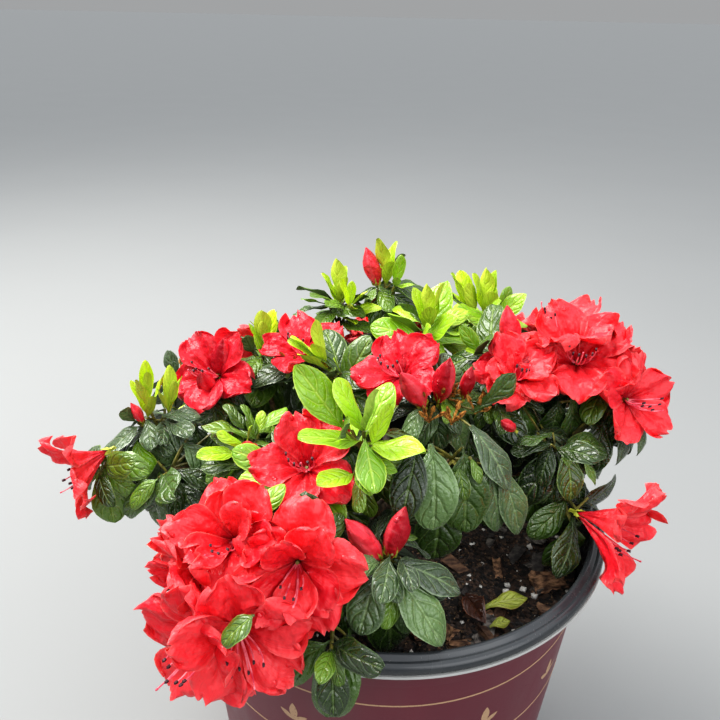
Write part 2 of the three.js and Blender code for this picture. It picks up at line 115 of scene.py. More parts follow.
RULES = {
    Kind.LEAFY: LeafRule(14, 5, (42, 98), (34, 46), 0.48, 2.2, 0.16),
    Kind.FLUSH: LeafRule(17, 5, (10, 36), (32, 27), 0.41, 2.4, 0),
    Kind.BROAD: LeafRule(16, 7, (16, 78), (34, 42), 0.44, 2, 0.08),
    Kind.BUD: LeafRule(12, 3, (58, 84), (27, 33), 0.42, 1.9, 0.1),
    Kind.BLOOM: LeafRule(16, 0, (0, 0), (0, 0), 0, 0, 0),
}
STEM_LEAVES = LeafRule(0, 3, (84, 112), (38, 46), 0.46, 0, 0.22, (0.95, 0.3))

# Leaves that the source leaves out: young ones inside each rosette, and older ones on finer side twigs.
HEART_LEAVES = LeafRule(0, 3, (14, 38), (15, 24), 0.4, -0.9, 0)
FLUSH_HEART_LEAVES = LeafRule(0, 5, (5, 26), (20, 28), 0.34, -0.9, 0)
SIDE_LEAVES = LeafRule(11, 5, (34, 92), (25, 38), 0.46, 1.9, 0.12)
LOWER_LEAVES = LeafRule(0, 4, (80, 118), (32, 46), 0.48, 0, 0.3, (0.86, 0.2))

TWIG_VARIES = (0.85, 1.15)
FLOWER_VARIES = (0.92, 1.08)
LEAF_VARIES = (0.9, 1.08)
TILT_VARIES = 0.1
LEAF_BELOW_TIP = 0.8
SEED_FIRST, SEED_PITCH, SEED_FINER, SEED_CRUMBS = 101, 17, 9001, 5


@dataclass(frozen=True)
class BoughPlan:
    """Where a bough leaves the trunk (height above the soil), where it ends, and its radii."""

    leaves: float
    tip: Triple
    radii: Pair


BOUGHS = {name: BoughPlan(*row) for name, row in {
    "left": (9, (-112, 8, 258), (3.6, 2.3)),
    "left_back": (18, (-88, 62, 262), (3.4, 2.2)),
    "back_left": (27, (-42, 92, 283), (3.2, 2.2)),
    "back": (9, (-2, 118, 280), (3.6, 2.3)),
    "back_right": (27, (62, 92, 283), (3.2, 2.2)),
    "right_back": (18, (90, 48, 280), (3.4, 2.2)),
    "right": (9, (90, -8, 264), (3.6, 2.3)),
    "centre": (38, (34, 6, 284), (3.0, 2.1)),
    "centre_left": (36, (-36, 14, 280), (3.0, 2.1)),
    "front_right": (18, (24, -34, 276), (3.2, 2.1)),
    "front": (27, (-12, -60, 274), (3.2, 2.1)),
    "front_low": (9, (-30, -84, 250), (3.4, 2.2)),
    "front_left": (18, (-52, -66, 262), (3.4, 2.2)),
}.items()}


@dataclass(frozen=True)
class MassPlan:
    """A mass of foliage: its bough, where its stem ends, which way its shoots face, and what they carry.

    Spread and turn are in degrees. Tone is the colour of its older leaves, and hang is how far their weight
    pulls them down, as a share of their length.
    """

    bough: str
    heart: Triple
    facing: Triple
    spread: float
    turn: float
    shoots: tuple[Kind, ...]
    tone: Tone = Tone.DARK
    hang: float = 0.25


LEAFY, FLUSH, BROAD, BLOOM, BUD = Kind
DARK, GREY, MID, FRESH, LIME = Tone

MASSES = {name: MassPlan(*row) for name, row in {
    "right_big_bloom": (
        "right_back", (118, 40, 322), (0.15, -0.35, 1), 56, 90, (BLOOM, BLOOM, LEAFY, LEAFY), DARK, 0.7),
    "right_open_bloom": (
        "right", (142, 14, 308), (0.35, -0.75, 0.5), 70, 200, (BLOOM, LEAFY, LEAFY), DARK, 0.8),
    "front_left_high": ("front_left", (-80, -98, 280), (-0.15, -0.6, 0.6), 78, 285, (BLOOM, LEAFY, BLOOM)),
    "front_left_low": ("front_left", (-84, -130, 256), (-0.3, -0.8, -0.1), 70, 250, (BLOOM, BLOOM, LEAFY)),
    "front_bloom": ("front_low", (-49, -106, 281), (-0.05, -0.85, 0.35), 52, 200, (BLOOM, LEAFY, LEAFY)),
    "front_flush": ("front", (-18, -62, 316), (0, -0.3, 1), 66, 90, (BROAD, LEAFY, LEAFY), MID),
    "centre_fan": (
        "front_right", (32, -54, 306), (0.1, -0.9, 0.25), 50, 250, (LEAFY, LEAFY, LEAFY), DARK, 1.3),
    "front_buds": ("front", (-4, -98, 268), (0.05, -0.65, 0.65), 56, 20, (BUD, BUD, LEAFY, LEAFY), GREY, 0.7),
    "centre_buds": ("centre", (24, -2, 314), (0, -0.25, 1), 50, -5, (BUD, BUD, BLOOM, LEAFY), GREY, 0.6),
    "centre_bloom": ("centre", (62, 8, 308), (0.15, -0.4, 1), 64, 200, (BLOOM, LEAFY, BUD), DARK, 0.8),
    "centre_left_leaves": (
        "centre_left", (-32, 22, 310), (-0.1, -0.35, 1), 58, 90, (LEAFY, FLUSH, LEAFY), MID),
    "centre_left_bloom": (
        "front_left", (-48, -50, 288), (-0.1, -0.5, 0.8), 64, 60, (BLOOM, BROAD, LEAFY), MID),
    "far_left_rosette": (
        "left", (-156, 20, 274), (-0.15, -0.1, 1), 62, 0, (FLUSH, LEAFY, LEAFY, FLUSH), GREY),
    "far_left_bloom": ("left", (-184, -4, 266), (-0.6, -0.75, 0.05), 50, 270, (BLOOM, LEAFY), MID),
    "left_leaves": ("left", (-140, -12, 266), (-0.3, -0.8, 0.1), 62, 180, (LEAFY, LEAFY), DARK, 0.9),
    "left_bloom": ("left_back", (-124, 66, 284), (-0.3, -0.3, 0.9), 60, -50, (BLOOM, BUD, LEAFY, BUD)),
    "left_flush": ("left_back", (-94, 90, 288), (0.05, 0, 1), 58, 200, (FLUSH, LEAFY, LEAFY), MID),
    "left_inner": ("left", (-88, -18, 280), (-0.1, -0.5, 0.8), 60, 160, (LEAFY, BUD, LEAFY), MID, 0.6),
    "back_left_flush": ("back_left", (-38, 128, 314), (-0.05, 0.1, 1), 54, 120, (FLUSH, LEAFY, FLUSH), MID),
    "back_inner_bloom": ("back_left", (-58, 66, 300), (-0.2, -0.3, 1), 62, 180, (BLOOM, LEAFY, LEAFY), GREY),
    "back_flush": ("back", (-2, 138, 330), (-0.05, 0.1, 1), 50, 120, (FLUSH, BUD, LEAFY), MID),
    "right_back_flush": ("back_right", (72, 110, 316), (0, 0.05, 1), 52, 120, (FLUSH, FLUSH, LEAFY), FRESH),
    "centre_back_flush": ("back_right", (26, 84, 316), (0, -0.1, 1), 56, 60, (FLUSH, LEAFY, LEAFY), FRESH),
    "right_bud": ("right_back", (72, 40, 324), (-0.15, -0.1, 1), 56, 160, (BUD, LEAFY), MID),
    "right_leaves": ("right", (98, -22, 290), (0.25, -0.6, 0.7), 58, 200, (LEAFY, LEAFY), DARK, 0.9),
    "right_low_bloom": ("right", (108, -38, 268), (0.45, -0.85, 0.1), 62, 120, (BLOOM, LEAFY), DARK, 0.7),
    "front_rim_leaves": ("front_low", (-32, -126, 252), (0, -0.9, -0.1), 40, 0, (LEAFY,)),
    "back_left_low": (
        "back_left", (-98, 138, 264), (-0.45, 0.85, 0.05), 66, 60, (BLOOM, LEAFY, LEAFY, FLUSH)),
    "back_low": ("back", (6, 166, 272), (0, 1, 0.25), 66, 0, (BLOOM, LEAFY, LEAFY, BLOOM)),
    "back_left_leaves": ("back", (-48, 158, 264), (-0.3, 0.8, 0.4), 60, 90, (LEAFY, FLUSH, LEAFY)),
    "back_right_low": ("back_right", (108, 134, 276), (0.5, 0.8, 0.3), 66, 0, (LEAFY, BLOOM, FLUSH, LEAFY)),
    "right_side": ("right_back", (154, 78, 278), (0.85, 0.35, 0.4), 66, 90, (BLOOM, LEAFY, LEAFY), GREY),
    "left_side": ("left_back", (-150, 98, 266), (-0.7, 0.5, 0.5), 64, 45, (LEAFY, BUD, LEAFY), GREY),
}.items()}


@dataclass(frozen=True)
class SeenShoot:
    """A blossom or bud that the photograph shows turned from its rule.

    It holds where its twig ends, which way it looks, and its size next to the others.
    """

    tip: Triple
    way: Triple
    size: float = 1.0


SEEN_SHOOTS = {place: SeenShoot(*row) for place, row in {
    ("front_buds", 0): ((-9, -101, 275), (-0.6, 0.1, 0.8)),
    ("front_buds", 1): ((-3, -100, 276), (0.2, 0.1, 1)),
    ("centre_buds", 0): ((27, -17, 323), (0.1, -0.1, 1)),
    ("centre_buds", 1): ((17, -21, 322), (-0.45, -0.3, 0.85)),
    ("centre_buds", 2): ((4, 2, 330), (-0.35, -0.4, 0.85)),
    ("centre_bloom", 0): ((77, 8, 326), (0.05, -0.45, 0.9)),
    ("right_bud", 0): ((78, 34, 333), (-0.15, 0, 1)),
    ("right_big_bloom", 0): ((119, 24, 331), (-0.12, -0.6, 0.8), 1.15),
    ("far_left_bloom", 0): ((-182, -16, 278), (-0.75, -0.6, -0.25), 1.15),
    ("left_bloom", 0): ((-121, 54, 300), (-0.35, -0.55, 0.75)),
    ("right_low_bloom", 0): ((113, -52, 266), (0.7, -0.7, 0.02), 1.2),
    ("far_left_rosette", 0): ((-161, 20, 294), (0.1, 0, 1), 0.6),
    ("far_left_rosette", 3): ((-147, 18, 290), (0.2, 0.1, 1), 0.6),
    ("front_left_high", 2): ((-97, -113, 275), (-0.8, -0.55, -0.1), 1.05),
    ("front_left_low", 0): ((-93, -138, 257), (-0.5, -0.85, 0.02), 1.15),
    ("front_left_low", 1): ((-77, -140, 262), (0.25, -0.9, 0.2), 1.15),
}.items()}


@dataclass(frozen=True)
class SeenLeaf:
    """A leaf that stands out in the photograph. Its width is a share of its length."""

    mass: str
    root: Triple
    tip: Triple
    tone: Tone
    width: float


SEEN_LEAVES = tuple(SeenLeaf(mass, *row) for mass, *rows in (
    ("front_buds", ((-9, -108, 274), (-19, -132, 253), GREY, 0.56),
     ((-6, -109, 270), (6, -148, 241), DARK, 0.48), ((-2, -107, 272), (26, -138, 256), GREY, 0.46),
     ((-1, -103, 274), (37, -113, 269), GREY, 0.42)),
    ("front_rim_leaves", ((-25, -133, 254), (-32, -150, 211), DARK, 0.52)),
    ("front_left_low", ((-65, -158, 291), (-79, -167, 281), MID, 0.62)),
    ("centre_buds", ((42, -44, 322), (69, -70, 302), GREY, 0.46),
     ((46, -28, 322), (70, -28, 344), DARK, 0.54)),
    ("centre_fan", ((18, -64, 322), (25, -94, 286), GREY, 0.52),
     ((36, -62, 320), (43, -89, 278), DARK, 0.52), ((11, -66, 321), (3, -91, 292), DARK, 0.48),
     ((25, -66, 292), (26, -88, 252), DARK, 0.56), ((51, -56, 304), (66, -75, 268), GREY, 0.46),
     ((58, -52, 302), (78, -70, 266), GREY, 0.38)),
    ("right_leaves", ((94, -21, 293), (111, -42, 262), GREY, 0.5),
     ((90, -18, 288), (92, -42, 250), DARK, 0.54), ((80, 4, 312), (94, -6, 284), DARK, 0.6),
     ((92, 16, 302), (98, 9, 270), DARK, 0.6)),
    ("right_open_bloom", ((128, -2, 290), (142, -12, 264), DARK, 0.56),
     ((116, 0, 292), (114, -8, 262), GREY, 0.5)),
    ("right_leaves", ((88, -14, 300), (116, -10, 296), DARK, 0.46)),
    ("right_open_bloom", ((112, 3, 317), (123, -8, 285), DARK, 0.5),
     ((128, 6, 306), (142, -6, 276), DARK, 0.5), ((104, 0, 315), (101, -13, 284), DARK, 0.5),
     ((134, 4, 300), (126, -11, 268), DARK, 0.5)),
    ("far_left_rosette", ((-138, 15, 282), (-135, 1, 246), DARK, 0.52)),
    ("left_leaves", ((-128, 12, 286), (-121, -3, 252), DARK, 0.52),
     ((-117, 8, 282), (-109, -6, 250), DARK, 0.52)),
    ("far_left_rosette", ((-162, 8, 286), (-191, -8, 272), GREY, 0.56),
     ((-158, 10, 288), (-182, 18, 300), GREY, 0.44), ((-150, 12, 290), (-126, 12, 298), GREY, 0.48),
     ((-148, 10, 288), (-121, -2, 274), GREY, 0.46), ((-166, 4, 278), (-156, -14, 257), FRESH, 0.6),
     ((-150, 8, 272), (-139, -10, 230), DARK, 0.52), ((-164, 6, 268), (-179, -12, 232), DARK, 0.48)),
    ("left_leaves", ((-134, -4, 280), (-102, -18, 264), GREY, 0.5),
     ((-142, -10, 262), (-148, -26, 226), DARK, 0.5), ((-128, -6, 268), (-113, -22, 236), DARK, 0.5)),
    ("left_inner", ((-94, -22, 286), (-116, -34, 290), FRESH, 0.5)),
    ("front_flush", ((-28, -68, 331), (-53, -62, 364), FRESH, 0.44),
     ((-14, -72, 324), (-6, -74, 350), FRESH, 0.46), ((-18, -73, 317), (-15, -90, 307), FRESH, 0.64),
     ((-22, -76, 310), (-41, -92, 311), FRESH, 0.56)),
) for row in rows)

# Small buds that stand out too, and leafy shoots with the brown calyces of dropped blossoms. Each row holds
# its mass, its kind, where its twig ends, which way it points and, for a bud, its size.
SEEN_TWIGS = (
    ("centre_buds", BUD, (42, -14, 325), (0.1, 0, 1), 0.66),
    ("centre_bloom", BUD, (70, -30, 312), (-0.6, -0.4, 0.7), 0.5),
    ("far_left_rosette", BUD, (-164, 14, 286), (-0.35, 0, 1), 0.5),
    ("centre_buds", LEAFY, (33, -34, 317), (0.2, -0.5, 0.85)),
    ("centre_buds", LEAFY, (20, -32, 317), (-0.2, -0.6, 0.75)),
    ("centre_bloom", LEAFY, (48, -24, 319), (0.3, -0.4, 0.85)),
)


class Draws:
    """A repeatable row of draws between 0 and 1, the same row as in the part's source."""

    def __init__(self, seed: int) -> None:
        """Starts the row that a seed fixes."""
        self.state = seed % DRAW_RANGE

    def next(self) -> float:
        """Returns the next draw, from 0 to 1."""
        self.state = (self.state * DRAW_STEP + DRAW_SHIFT) % DRAW_RANGE
        return self.state / DRAW_RANGE

    def between(self, low: float, high: float) -> float:
        """Returns the next draw, stretched to lie from low to high."""
        return low + (high - low) * self.next()


def mix(pair: Pair, share: float) -> float:
    """Returns the value a share of the way from the first of a pair to the second."""
    return pair[0] + (pair[1] - pair[0]) * share


def unit(vector: Array) -> Array:
    """Returns vectors scaled to length 1."""
    return vector / np.linalg.norm(vector, axis=-1, keepdims=True)


def leaning(axis: Array, lean: float, turn: float) -> Array:
    """Leans a direction away from an axis, as the part's source does.

    Args:
        axis: The axis, of length 1.
        lean: The angle away from it, in radians.
        turn: The angle round it, in radians.

    Returns:
        The direction, of length 1.
    """
    helper = SIDEWAYS if abs(axis[2]) > 0.9 else UP
    side = unit(np.cross(helper, axis))
    other = np.cross(axis, side)
    return axis * math.cos(lean) + (side * math.cos(turn) + other * math.sin(turn)) * math.sin(lean)


def axes_along(direction: Array, upper: Array) -> Array:
    """Sets out the axes of what grows along a direction.

    Args:
        direction: Where it grows.
        upper: What its upper side faces.

    Returns:
        Rows along, across and upper.
    """
    along = unit(direction)
    across = np.cross(upper, along)
    if np.dot(across, across) < 1e-8:
        across = np.cross(SIDEWAYS, along)
    across = unit(across)
    return np.array([along, across, np.cross(along, across)])


def wrinkle(point: Array, size: float) -> float:
    """Returns smooth noise from -1 to 1 whose lumps are about a size in millimetres apart."""
    return noise.noise(Vector(point) / size)


@dataclass(frozen=True)
class Bend:
    """A quadratic curve from a start, over a pull point, to an end."""

    start: Array
    pull: Array
    end: Array

    def point(self, share: Array | float) -> Array:
        """Returns the points at shares of the curve's own measure."""
        t = np.asarray(share, float)[..., None]
        return (1 - t) ** 2 * self.start + 2 * t * (1 - t) * self.pull + t * t * self.end

    def tangent(self, share: Array | float) -> Array:
        """Returns the directions at shares of the curve's own measure."""
        t = np.asarray(share, float)[..., None]
        return unit((1 - t) * (self.pull - self.start) + t * (self.end - self.pull))

    def before_end(self, distance: float) -> Array:
        """Finds a point before the end.

        Args:
            distance: How far back it lies, measured along the curve.

        Returns:
            The point.
        """
        shares = np.linspace(0, 1, CURVE_STEPS)
        steps = self.point(shares)
        run = np.concatenate([[0], np.cumsum(np.linalg.norm(np.diff(steps, axis=0), axis=1))])
        return self.point(np.interp(run[-1] - distance, run, shares))


def straight(start: Array, end: Array) -> Bend:
    """Returns a straight run as a curve."""
    return Bend(start, (start + end) / 2, end)


@dataclass(frozen=True)
class Form:
    """A unit shape kept as arrays, to be repeated: its points and its faces' corners.

    Sheet forms hold (along 0..1, across -1..1, side) and tube forms (cos, sin, along 0..1).
    """

    points: Array
    corners: Array
    counts: Array
    under: Array

    @classmethod
    def of(cls, shape: bmesh.types.BMesh) -> "Form":
        """Keeps a bmesh as a form and frees it.

        Args:
            shape: The bmesh.

        Returns:
            The form.
        """
        shape.verts.index_update()
        points = np.array([vert.co for vert in shape.verts])
        corners = np.array([vert.index for face in shape.faces for vert in face.verts])
        counts = np.array([len(face.verts) for face in shape.faces])
        under = np.array([sum(vert.co.z for vert in face.verts) < 0 for face in shape.faces])
        shape.free()
        return cls(points, corners, counts, under)

    @classmethod
    def sheet(cls, along: int, across: int, first: float = 0.0) -> "Form":
        """Makes a thin closed sheet whose upper and lower faces meet along their rim.

        Its rows lie closer together towards its ends, where outlines turn fastest.

        Args:
            along: Faces from root to tip.
            across: Faces from edge to edge.
            first: The share of the length where it starts.

        Returns:
            The sheet.
        """
        shape = bmesh.new()
        bmesh.ops.create_grid(shape, x_segments=along, y_segments=across, size=1)
        twin = bmesh.ops.duplicate(shape, geom=shape.verts[:] + shape.edges[:] + shape.faces[:])["geom"]
        lower = {item for item in twin if isinstance(item, bmesh.types.BMVert)}
        bmesh.ops.reverse_faces(shape, faces=[item for item in twin if isinstance(item, bmesh.types.BMFace)])
        for vert in shape.verts:
            inside = not vert.is_boundary
            even = (vert.co.x + 1) / 2
            eased = 0.5 * even + 0.25 * (1 - math.cos(even * math.pi)) + 0.08 * math.sin(even * math.pi)
            vert.co.x = first + (1 - first) * eased
            vert.co.z = (-1 if vert in lower else 1) * inside
        bmesh.ops.remove_doubles(shape, verts=shape.verts[:], dist=1e-4)
        return cls.of(shape)

    @classmethod
    def tube(cls, sides: int, rings: int) -> "Form":
        """Makes a closed round bar of radius 1 and length 1.

        Args:
            sides: Faces round it.
            rings: Faces along it.

        Returns:
            The bar.
        """
        shape = bmesh.new()
        bmesh.ops.create_cone(
            shape, segments=sides, cap_ends=True, cap_tris=True, radius1=1, radius2=1, depth=1)
        rails = [edge for edge in shape.edges if abs(edge.verts[0].co.z - edge.verts[1].co.z) > 0.5]
        bmesh.ops.subdivide_edges(shape, edges=rails, cuts=rings - 1, use_grid_fill=True)
        bmesh.ops.translate(shape, verts=shape.verts[:], vec=(0, 0, 0.5))
        return cls.of(shape)

    @classmethod
    def crumb(cls, seed: int, stretch: Triple, rounds: int = 1) -> "Form":
        """Makes an uneven lump about 1 across.

        Args:
            seed: The number that fixes its shape.
            stretch: Its size along each axis.
            rounds: How often its edges are cut.

        Returns:
            The lump.
        """
        shape = bmesh.new()
        bmesh.ops.create_cube(shape, size=0.8)
        bmesh.ops.subdivide_edges(shape, edges=shape.edges[:], cuts=rounds, use_grid_fill=True)
        for vert in shape.verts:
            vert.co += noise.noise_vector(vert.co * 1.7 + Vector((seed * 3.1, seed * 1.7, 0))) * 0.22
        bmesh.ops.scale(shape, verts=shape.verts[:], vec=stretch)
        return cls.of(shape)

    def thickened(self, middle: Callable[..., Array], thickness: float) -> Array:
        """Shapes a sheet along a surface.

        Args:
            middle: Returns the surface's points at shares along and across.
            thickness: How thick the sheet is made.

        Returns:
            The sheet's points.
        """
        u, v, side = self.points.T
        step = 1e-3
        down = middle(u + step, v) - middle(u - step, v)
        over = middle(u, v + step) - middle(u, v - step)
        return middle(u, v) + unit(np.cross(down, over)) * (side * thickness / 2)[:, None]

    def bodies(self, points: Array) -> BVHTree:
        """Returns a search tree over this form's faces at the given points."""
        faces = np.split(self.corners, np.cumsum(self.counts)[:-1])
        return BVHTree.FromPolygons(points.tolist(), [face.tolist() for face in faces])


def linear(colour: str) -> tuple[float, float, float, float]:
    """Returns an sRGB hex colour as linear values with an alpha of 1."""
    channels = [int(colour[i:i + 2], 16) / 255 for i in (1, 3, 5)]
    return (*[c / 12.92 if c <= 0.04045 else ((c + 0.055) / 1.055) ** 2.4 for c in channels], 1.0)


def shades(colour: str, *shares: float) -> list[tuple[float, ...]]:
    """Returns a hex colour made darker or lighter by each share, as linear values with an alpha of 1."""
    return [tuple(c * share for c in linear(colour)[:3]) + (1.0,) for share in shares]


def per_mm(size: float) -> float:
    """Returns the scale of a pattern on coordinates in metres whose repeat is a size in millimetres."""
    return 1 / (size * MM)


Tree = bpy.types.NodeTree
Socket = bpy.types.NodeSocket
Filling = Socket | float | tuple | str
Adder = Callable[..., Socket]


class Node(Enum):
    """The kinds of node in use: Blender's type, its settings, its inputs in order, and the output used."""

    SHADER = ("ShaderNodeBsdfPrincipled", {}, (), "BSDF")
    OBJECT_PLACE = ("ShaderNodeTexCoord", {}, (), "Object")
    SKY_WAY = ("ShaderNodeTexCoord", {}, (), "Generated")
    BLADE_PLACE = ("ShaderNodeUVMap", {"uv_map": "blade"}, (), "UV")
    TINT = ("ShaderNodeAttribute", {"attribute_name": "tint"}, (), "Fac")
    UNDERSIDE = ("ShaderNodeAttribute", {"attribute_name": "under"}, (), "Fac")
    STRETCHED = ("ShaderNodeMapping", {}, ("Vector", "Scale"), "Vector")
    NOISE = ("ShaderNodeTexNoise", {}, ("Vector", "Scale", "Detail"), "Fac")
    CELLS = ("ShaderNodeTexVoronoi", {}, ("Vector", "Scale"), "Distance")
    CELL_WALLS = ("ShaderNodeTexVoronoi", {"feature": "DISTANCE_TO_EDGE"}, ("Vector", "Scale"), "Distance")
    COLOUR_PARTS = ("ShaderNodeSeparateColor", {}, (0,), 0)
    PLACE_PARTS = ("ShaderNodeSeparateXYZ", {}, (0,), 0)
    RAMP = (
        "ShaderNodeMapRange", {"interpolation_type": "SMOOTHSTEP"},
        ("Value", "From Min", "From Max", "To Min", "To Max"), "Result")
    BLEND = ("ShaderNodeMix", {"data_type": "RGBA"}, (0, 6, 7), 2)
    LEVEL = ("ShaderNodeMix", {"data_type": "FLOAT"}, (0, 2, 3), 0)
    BUMP = ("ShaderNodeBump", {}, ("Height", "Distance", "Strength"), "Normal")
    ABSOLUTE, ADD, MAXIMUM, MULTIPLY, MULTIPLY_ADD, POWER, SINE, SUBTRACT = (
        ("ShaderNodeMath", {"operation": operation}, (0, 1, 2), 0) for operation in (
            "ABSOLUTE", "ADD", "MAXIMUM", "MULTIPLY", "MULTIPLY_ADD", "POWER", "SINE", "SUBTRACT"))


def add_node(tree: Tree, kind: Node, *values: Filling, **named: Filling) -> Socket:
    """Adds a node, with its settings and its inputs.

    Args:
        tree: The material's node tree.
        kind: The kind of node.
        values: Numbers, hex colours, or sockets to link from, for the kind's inputs in order.
        named: The same for inputs given by name.

    Returns:
        The output that the kind is used for.
    """
    label, settings, inputs, output = kind.value
    node = tree.nodes.new(label)
    for name, value in settings.items():
        setattr(node, name, value)
    for key, value in (*zip(inputs, values), *named.items()):
        if isinstance(value, Socket):
            tree.links.new(value, node.inputs[key])
        else:
            node.inputs[key].default_value = linear(value) if isinstance(value, str) else value
    return node.outputs[output]


@dataclass(frozen=True)
class Finish:
    """A surface finish. A subclass gives its own pattern in dress()."""

    name: str

    def material(self) -> bpy.types.Material:
        """Makes the finish a material on first use.

        Returns:
            The material.
        """
        made = bpy.data.materials.get(self.name)
        if made is None:
            made = bpy.data.materials.new(self.name)
            made.use_nodes = True
            tree = made.node_tree
            tree.nodes.clear()
            surface = add_node(tree, Node.SHADER, **self.dress(partial(add_node, tree)))
            tree.links.new(surface, tree.nodes.new("ShaderNodeOutputMaterial").inputs["Surface"])
        return made

    def dress(self, add: Adder) -> dict[str, Filling]:
        """Gives the surface its colour, gloss and relief.

        Args:
            add: Adds a node to the material, as add_node does.

        Returns:
            What fills the shader's inputs, by their names.
        """
        raise NotImplementedError

    @staticmethod
    def mottle(add: Adder, size: float, detail: float = 3, stretch: tuple = (1, 1, 1)) -> Socket:
        """Adds noise over the object.

        Args:
            add: Adds a node.
            size: How far apart its lumps lie, in millimetres.
            detail: How many finer layers it has.
            stretch: How much closer its lumps lie along each axis.

        Returns:
            The noise, from 0 to 1.
        """
        place = add(Node.STRETCHED, add(Node.OBJECT_PLACE), stretch)
        return add(Node.NOISE, place, per_mm(size), detail)

    @staticmethod
    def blade_place(add: Adder) -> tuple[Socket, Socket, Socket]:
        """Adds the place on a leaf or petal.

        Args:
            add: Adds a node.

        Returns:
            The place, its share along, and its share out from the midrib.
        """
        place = add(Node.BLADE_PLACE)
        along = add(Node.PLACE_PARTS, place)
        aside = add(Node.ABSOLUTE, add(Node.SUBTRACT, along.node.outputs[1], 0.5))
        return place, along, add(Node.MULTIPLY, aside, 2.0)

    @staticmethod
    def rain(add: Adder, height: Socket, rough: Socket | float) -> tuple[Socket, Socket]:
        """Lays small raindrops here and there, clear beads that catch the light.

        Args:
            add: Adds a node.
            height: The height pattern beneath them.
            rough: The roughness beneath them.

        Returns:
            The height and the roughness with the drops.
        """
        cells = add(Node.CELLS, add(Node.OBJECT_PLACE), per_mm(DROP_SPACING))
        some = add(Node.COLOUR_PARTS, cells.node.outputs["Color"])
        reach = add(Node.RAMP, some, 0.55, 1, 0.02, 0.3)
        drop = add(Node.MAXIMUM, add(Node.SUBTRACT, reach, cells), 0.0)
        beaded = add(Node.MULTIPLY_ADD, add(Node.POWER, drop, 0.5), 0.75, height)
        return beaded, add(Node.LEVEL, add(Node.RAMP, drop, 0.0, 0.03), rough, 0.06)


@dataclass(frozen=True)
class MouldedPlastic(Finish):
    """Blow-moulded polyethylene: satin, with faint flow streaks and a dusting of dried potting mix."""

    colour: str
    dust: str
    roughness: float
    dusting: float
    peel: float = 0.5

    def dress(self, add: Adder) -> dict[str, Filling]:
        """Gives the plastic its streaks, specks and fine orange-peel relief.

        Args:
            add: Adds a node.

        Returns:
            The shader's inputs.
        """
        streaks = self.mottle(add, 26, 4, (1, 1, 0.12))
        specks = add(Node.RAMP, self.mottle(add, 1.6, 2), 0.62, 0.74, 0, self.dusting)
        clouds = add(Node.RAMP, self.mottle(add, 34), 0.42, 0.75, 0, self.dusting * 0.6)
        dusty = add(Node.MAXIMUM, specks, clouds)
        body = add(Node.BLEND, streaks, *shades(self.colour, 0.82, 1.16))
        satin = add(Node.RAMP, streaks, 0.2, 0.8, self.roughness - 0.06, self.roughness + 0.1)
        return {
            "Base Color": add(Node.BLEND, dusty, body, self.dust),
            "Roughness": add(Node.ADD, satin, dusty),
            "Normal": add(Node.BUMP, self.mottle(add, 1.1, 2), 0.06 * MM, self.peel)}


@dataclass(frozen=True)
class PrintedInk(Finish):
    """Screen-printed tan ink: flat, a little worn, so the plastic shows through in pinholes."""

    colour: str
    worn: str

    def dress(self, add: Adder) -> dict[str, Filling]:
        """Returns the shader's inputs, for matt ink with pinholes."""
        pinholes = add(Node.RAMP, self.mottle(add, 0.9, 2), 0.6, 0.72, 0, 0.7)
        return {
            "Base Color": add(Node.BLEND, pinholes, self.colour, self.worn),
            "Roughness": 0.55}


@dataclass(frozen=True)
class BarkMix(Finish):
    """Moist composted bark: near black, with brown and tan fibres and a damp glint on some crumbs."""

    dark: str
    brown: str
    pale: str
    grain: float = 2.4
    damp: float = 0.5

    def dress(self, add: Adder) -> dict[str, Filling]:
        """Gives the mix its crumbs of differing colour and their relief.

        Args:
            add: Adds a node.

        Returns:
            The shader's inputs.
        """
        crumbs = add(Node.CELLS, add(Node.OBJECT_PLACE), per_mm(self.grain))
        shade = add(Node.COLOUR_PARTS, crumbs.node.outputs["Color"])
        base = add(Node.BLEND, add(Node.RAMP, shade, 0.35, 1), self.dark, self.brown)
        fibres = add(Node.RAMP, self.mottle(add, self.grain * 0.8, 4), 0.62, 0.72)
        height = add(Node.ADD, self.mottle(add, self.grain * 0.6, 5), crumbs)
        return {
            "Base Color": add(Node.BLEND, fibres, base, self.pale),
            "Roughness": add(Node.RAMP, shade.node.outputs[1], 0.5, 1, 0.85, self.damp),
            "Normal": add(Node.BUMP, height, 1.0 * MM, 0.8)}


@dataclass(frozen=True)
class BarkFlake(Finish):
    """Pine bark nuggets: layered brown, with lighter torn edges along the grain."""

    dark: str
    light: str

    def dress(self, add: Adder) -> dict[str, Filling]:
        """Gives the flakes their layers and grain.

        Args:
            add: Adds a node.

        Returns:
            The shader's inputs.
        """
        layers = add(Node.RAMP, self.mottle(add, 3.2, 5, (0.5, 1.0, 2.6)), 0.35, 0.72)
        share = add(Node.MULTIPLY, layers, add(Node.TINT))
        return {
            "Base Color": add(Node.BLEND, share, self.dark, self.light),
            "Roughness": 0.78, "Normal": add(Node.BUMP, self.mottle(add, 1.1, 5), 0.5 * MM, 0.7)}


@dataclass(frozen=True)
class Perlite(Finish):
    """Expanded perlite: white, chalky and full of tiny pits."""

    colour: str
    pit_shade: str

    def dress(self, add: Adder) -> dict[str, Filling]:
        """Returns the shader's inputs, for grains full of pits."""
        pits = self.mottle(add, 0.7, 3)
        return {
            # The pits take the darker colour where the bump dips: painted shade in the hollows.
            "Base Color": add(Node.BLEND, add(Node.RAMP, pits, 0.3, 0.6), self.pit_shade, self.colour),
            "Roughness": 0.9, "Normal": add(Node.BUMP, pits, 0.3 * MM, 0.8)}


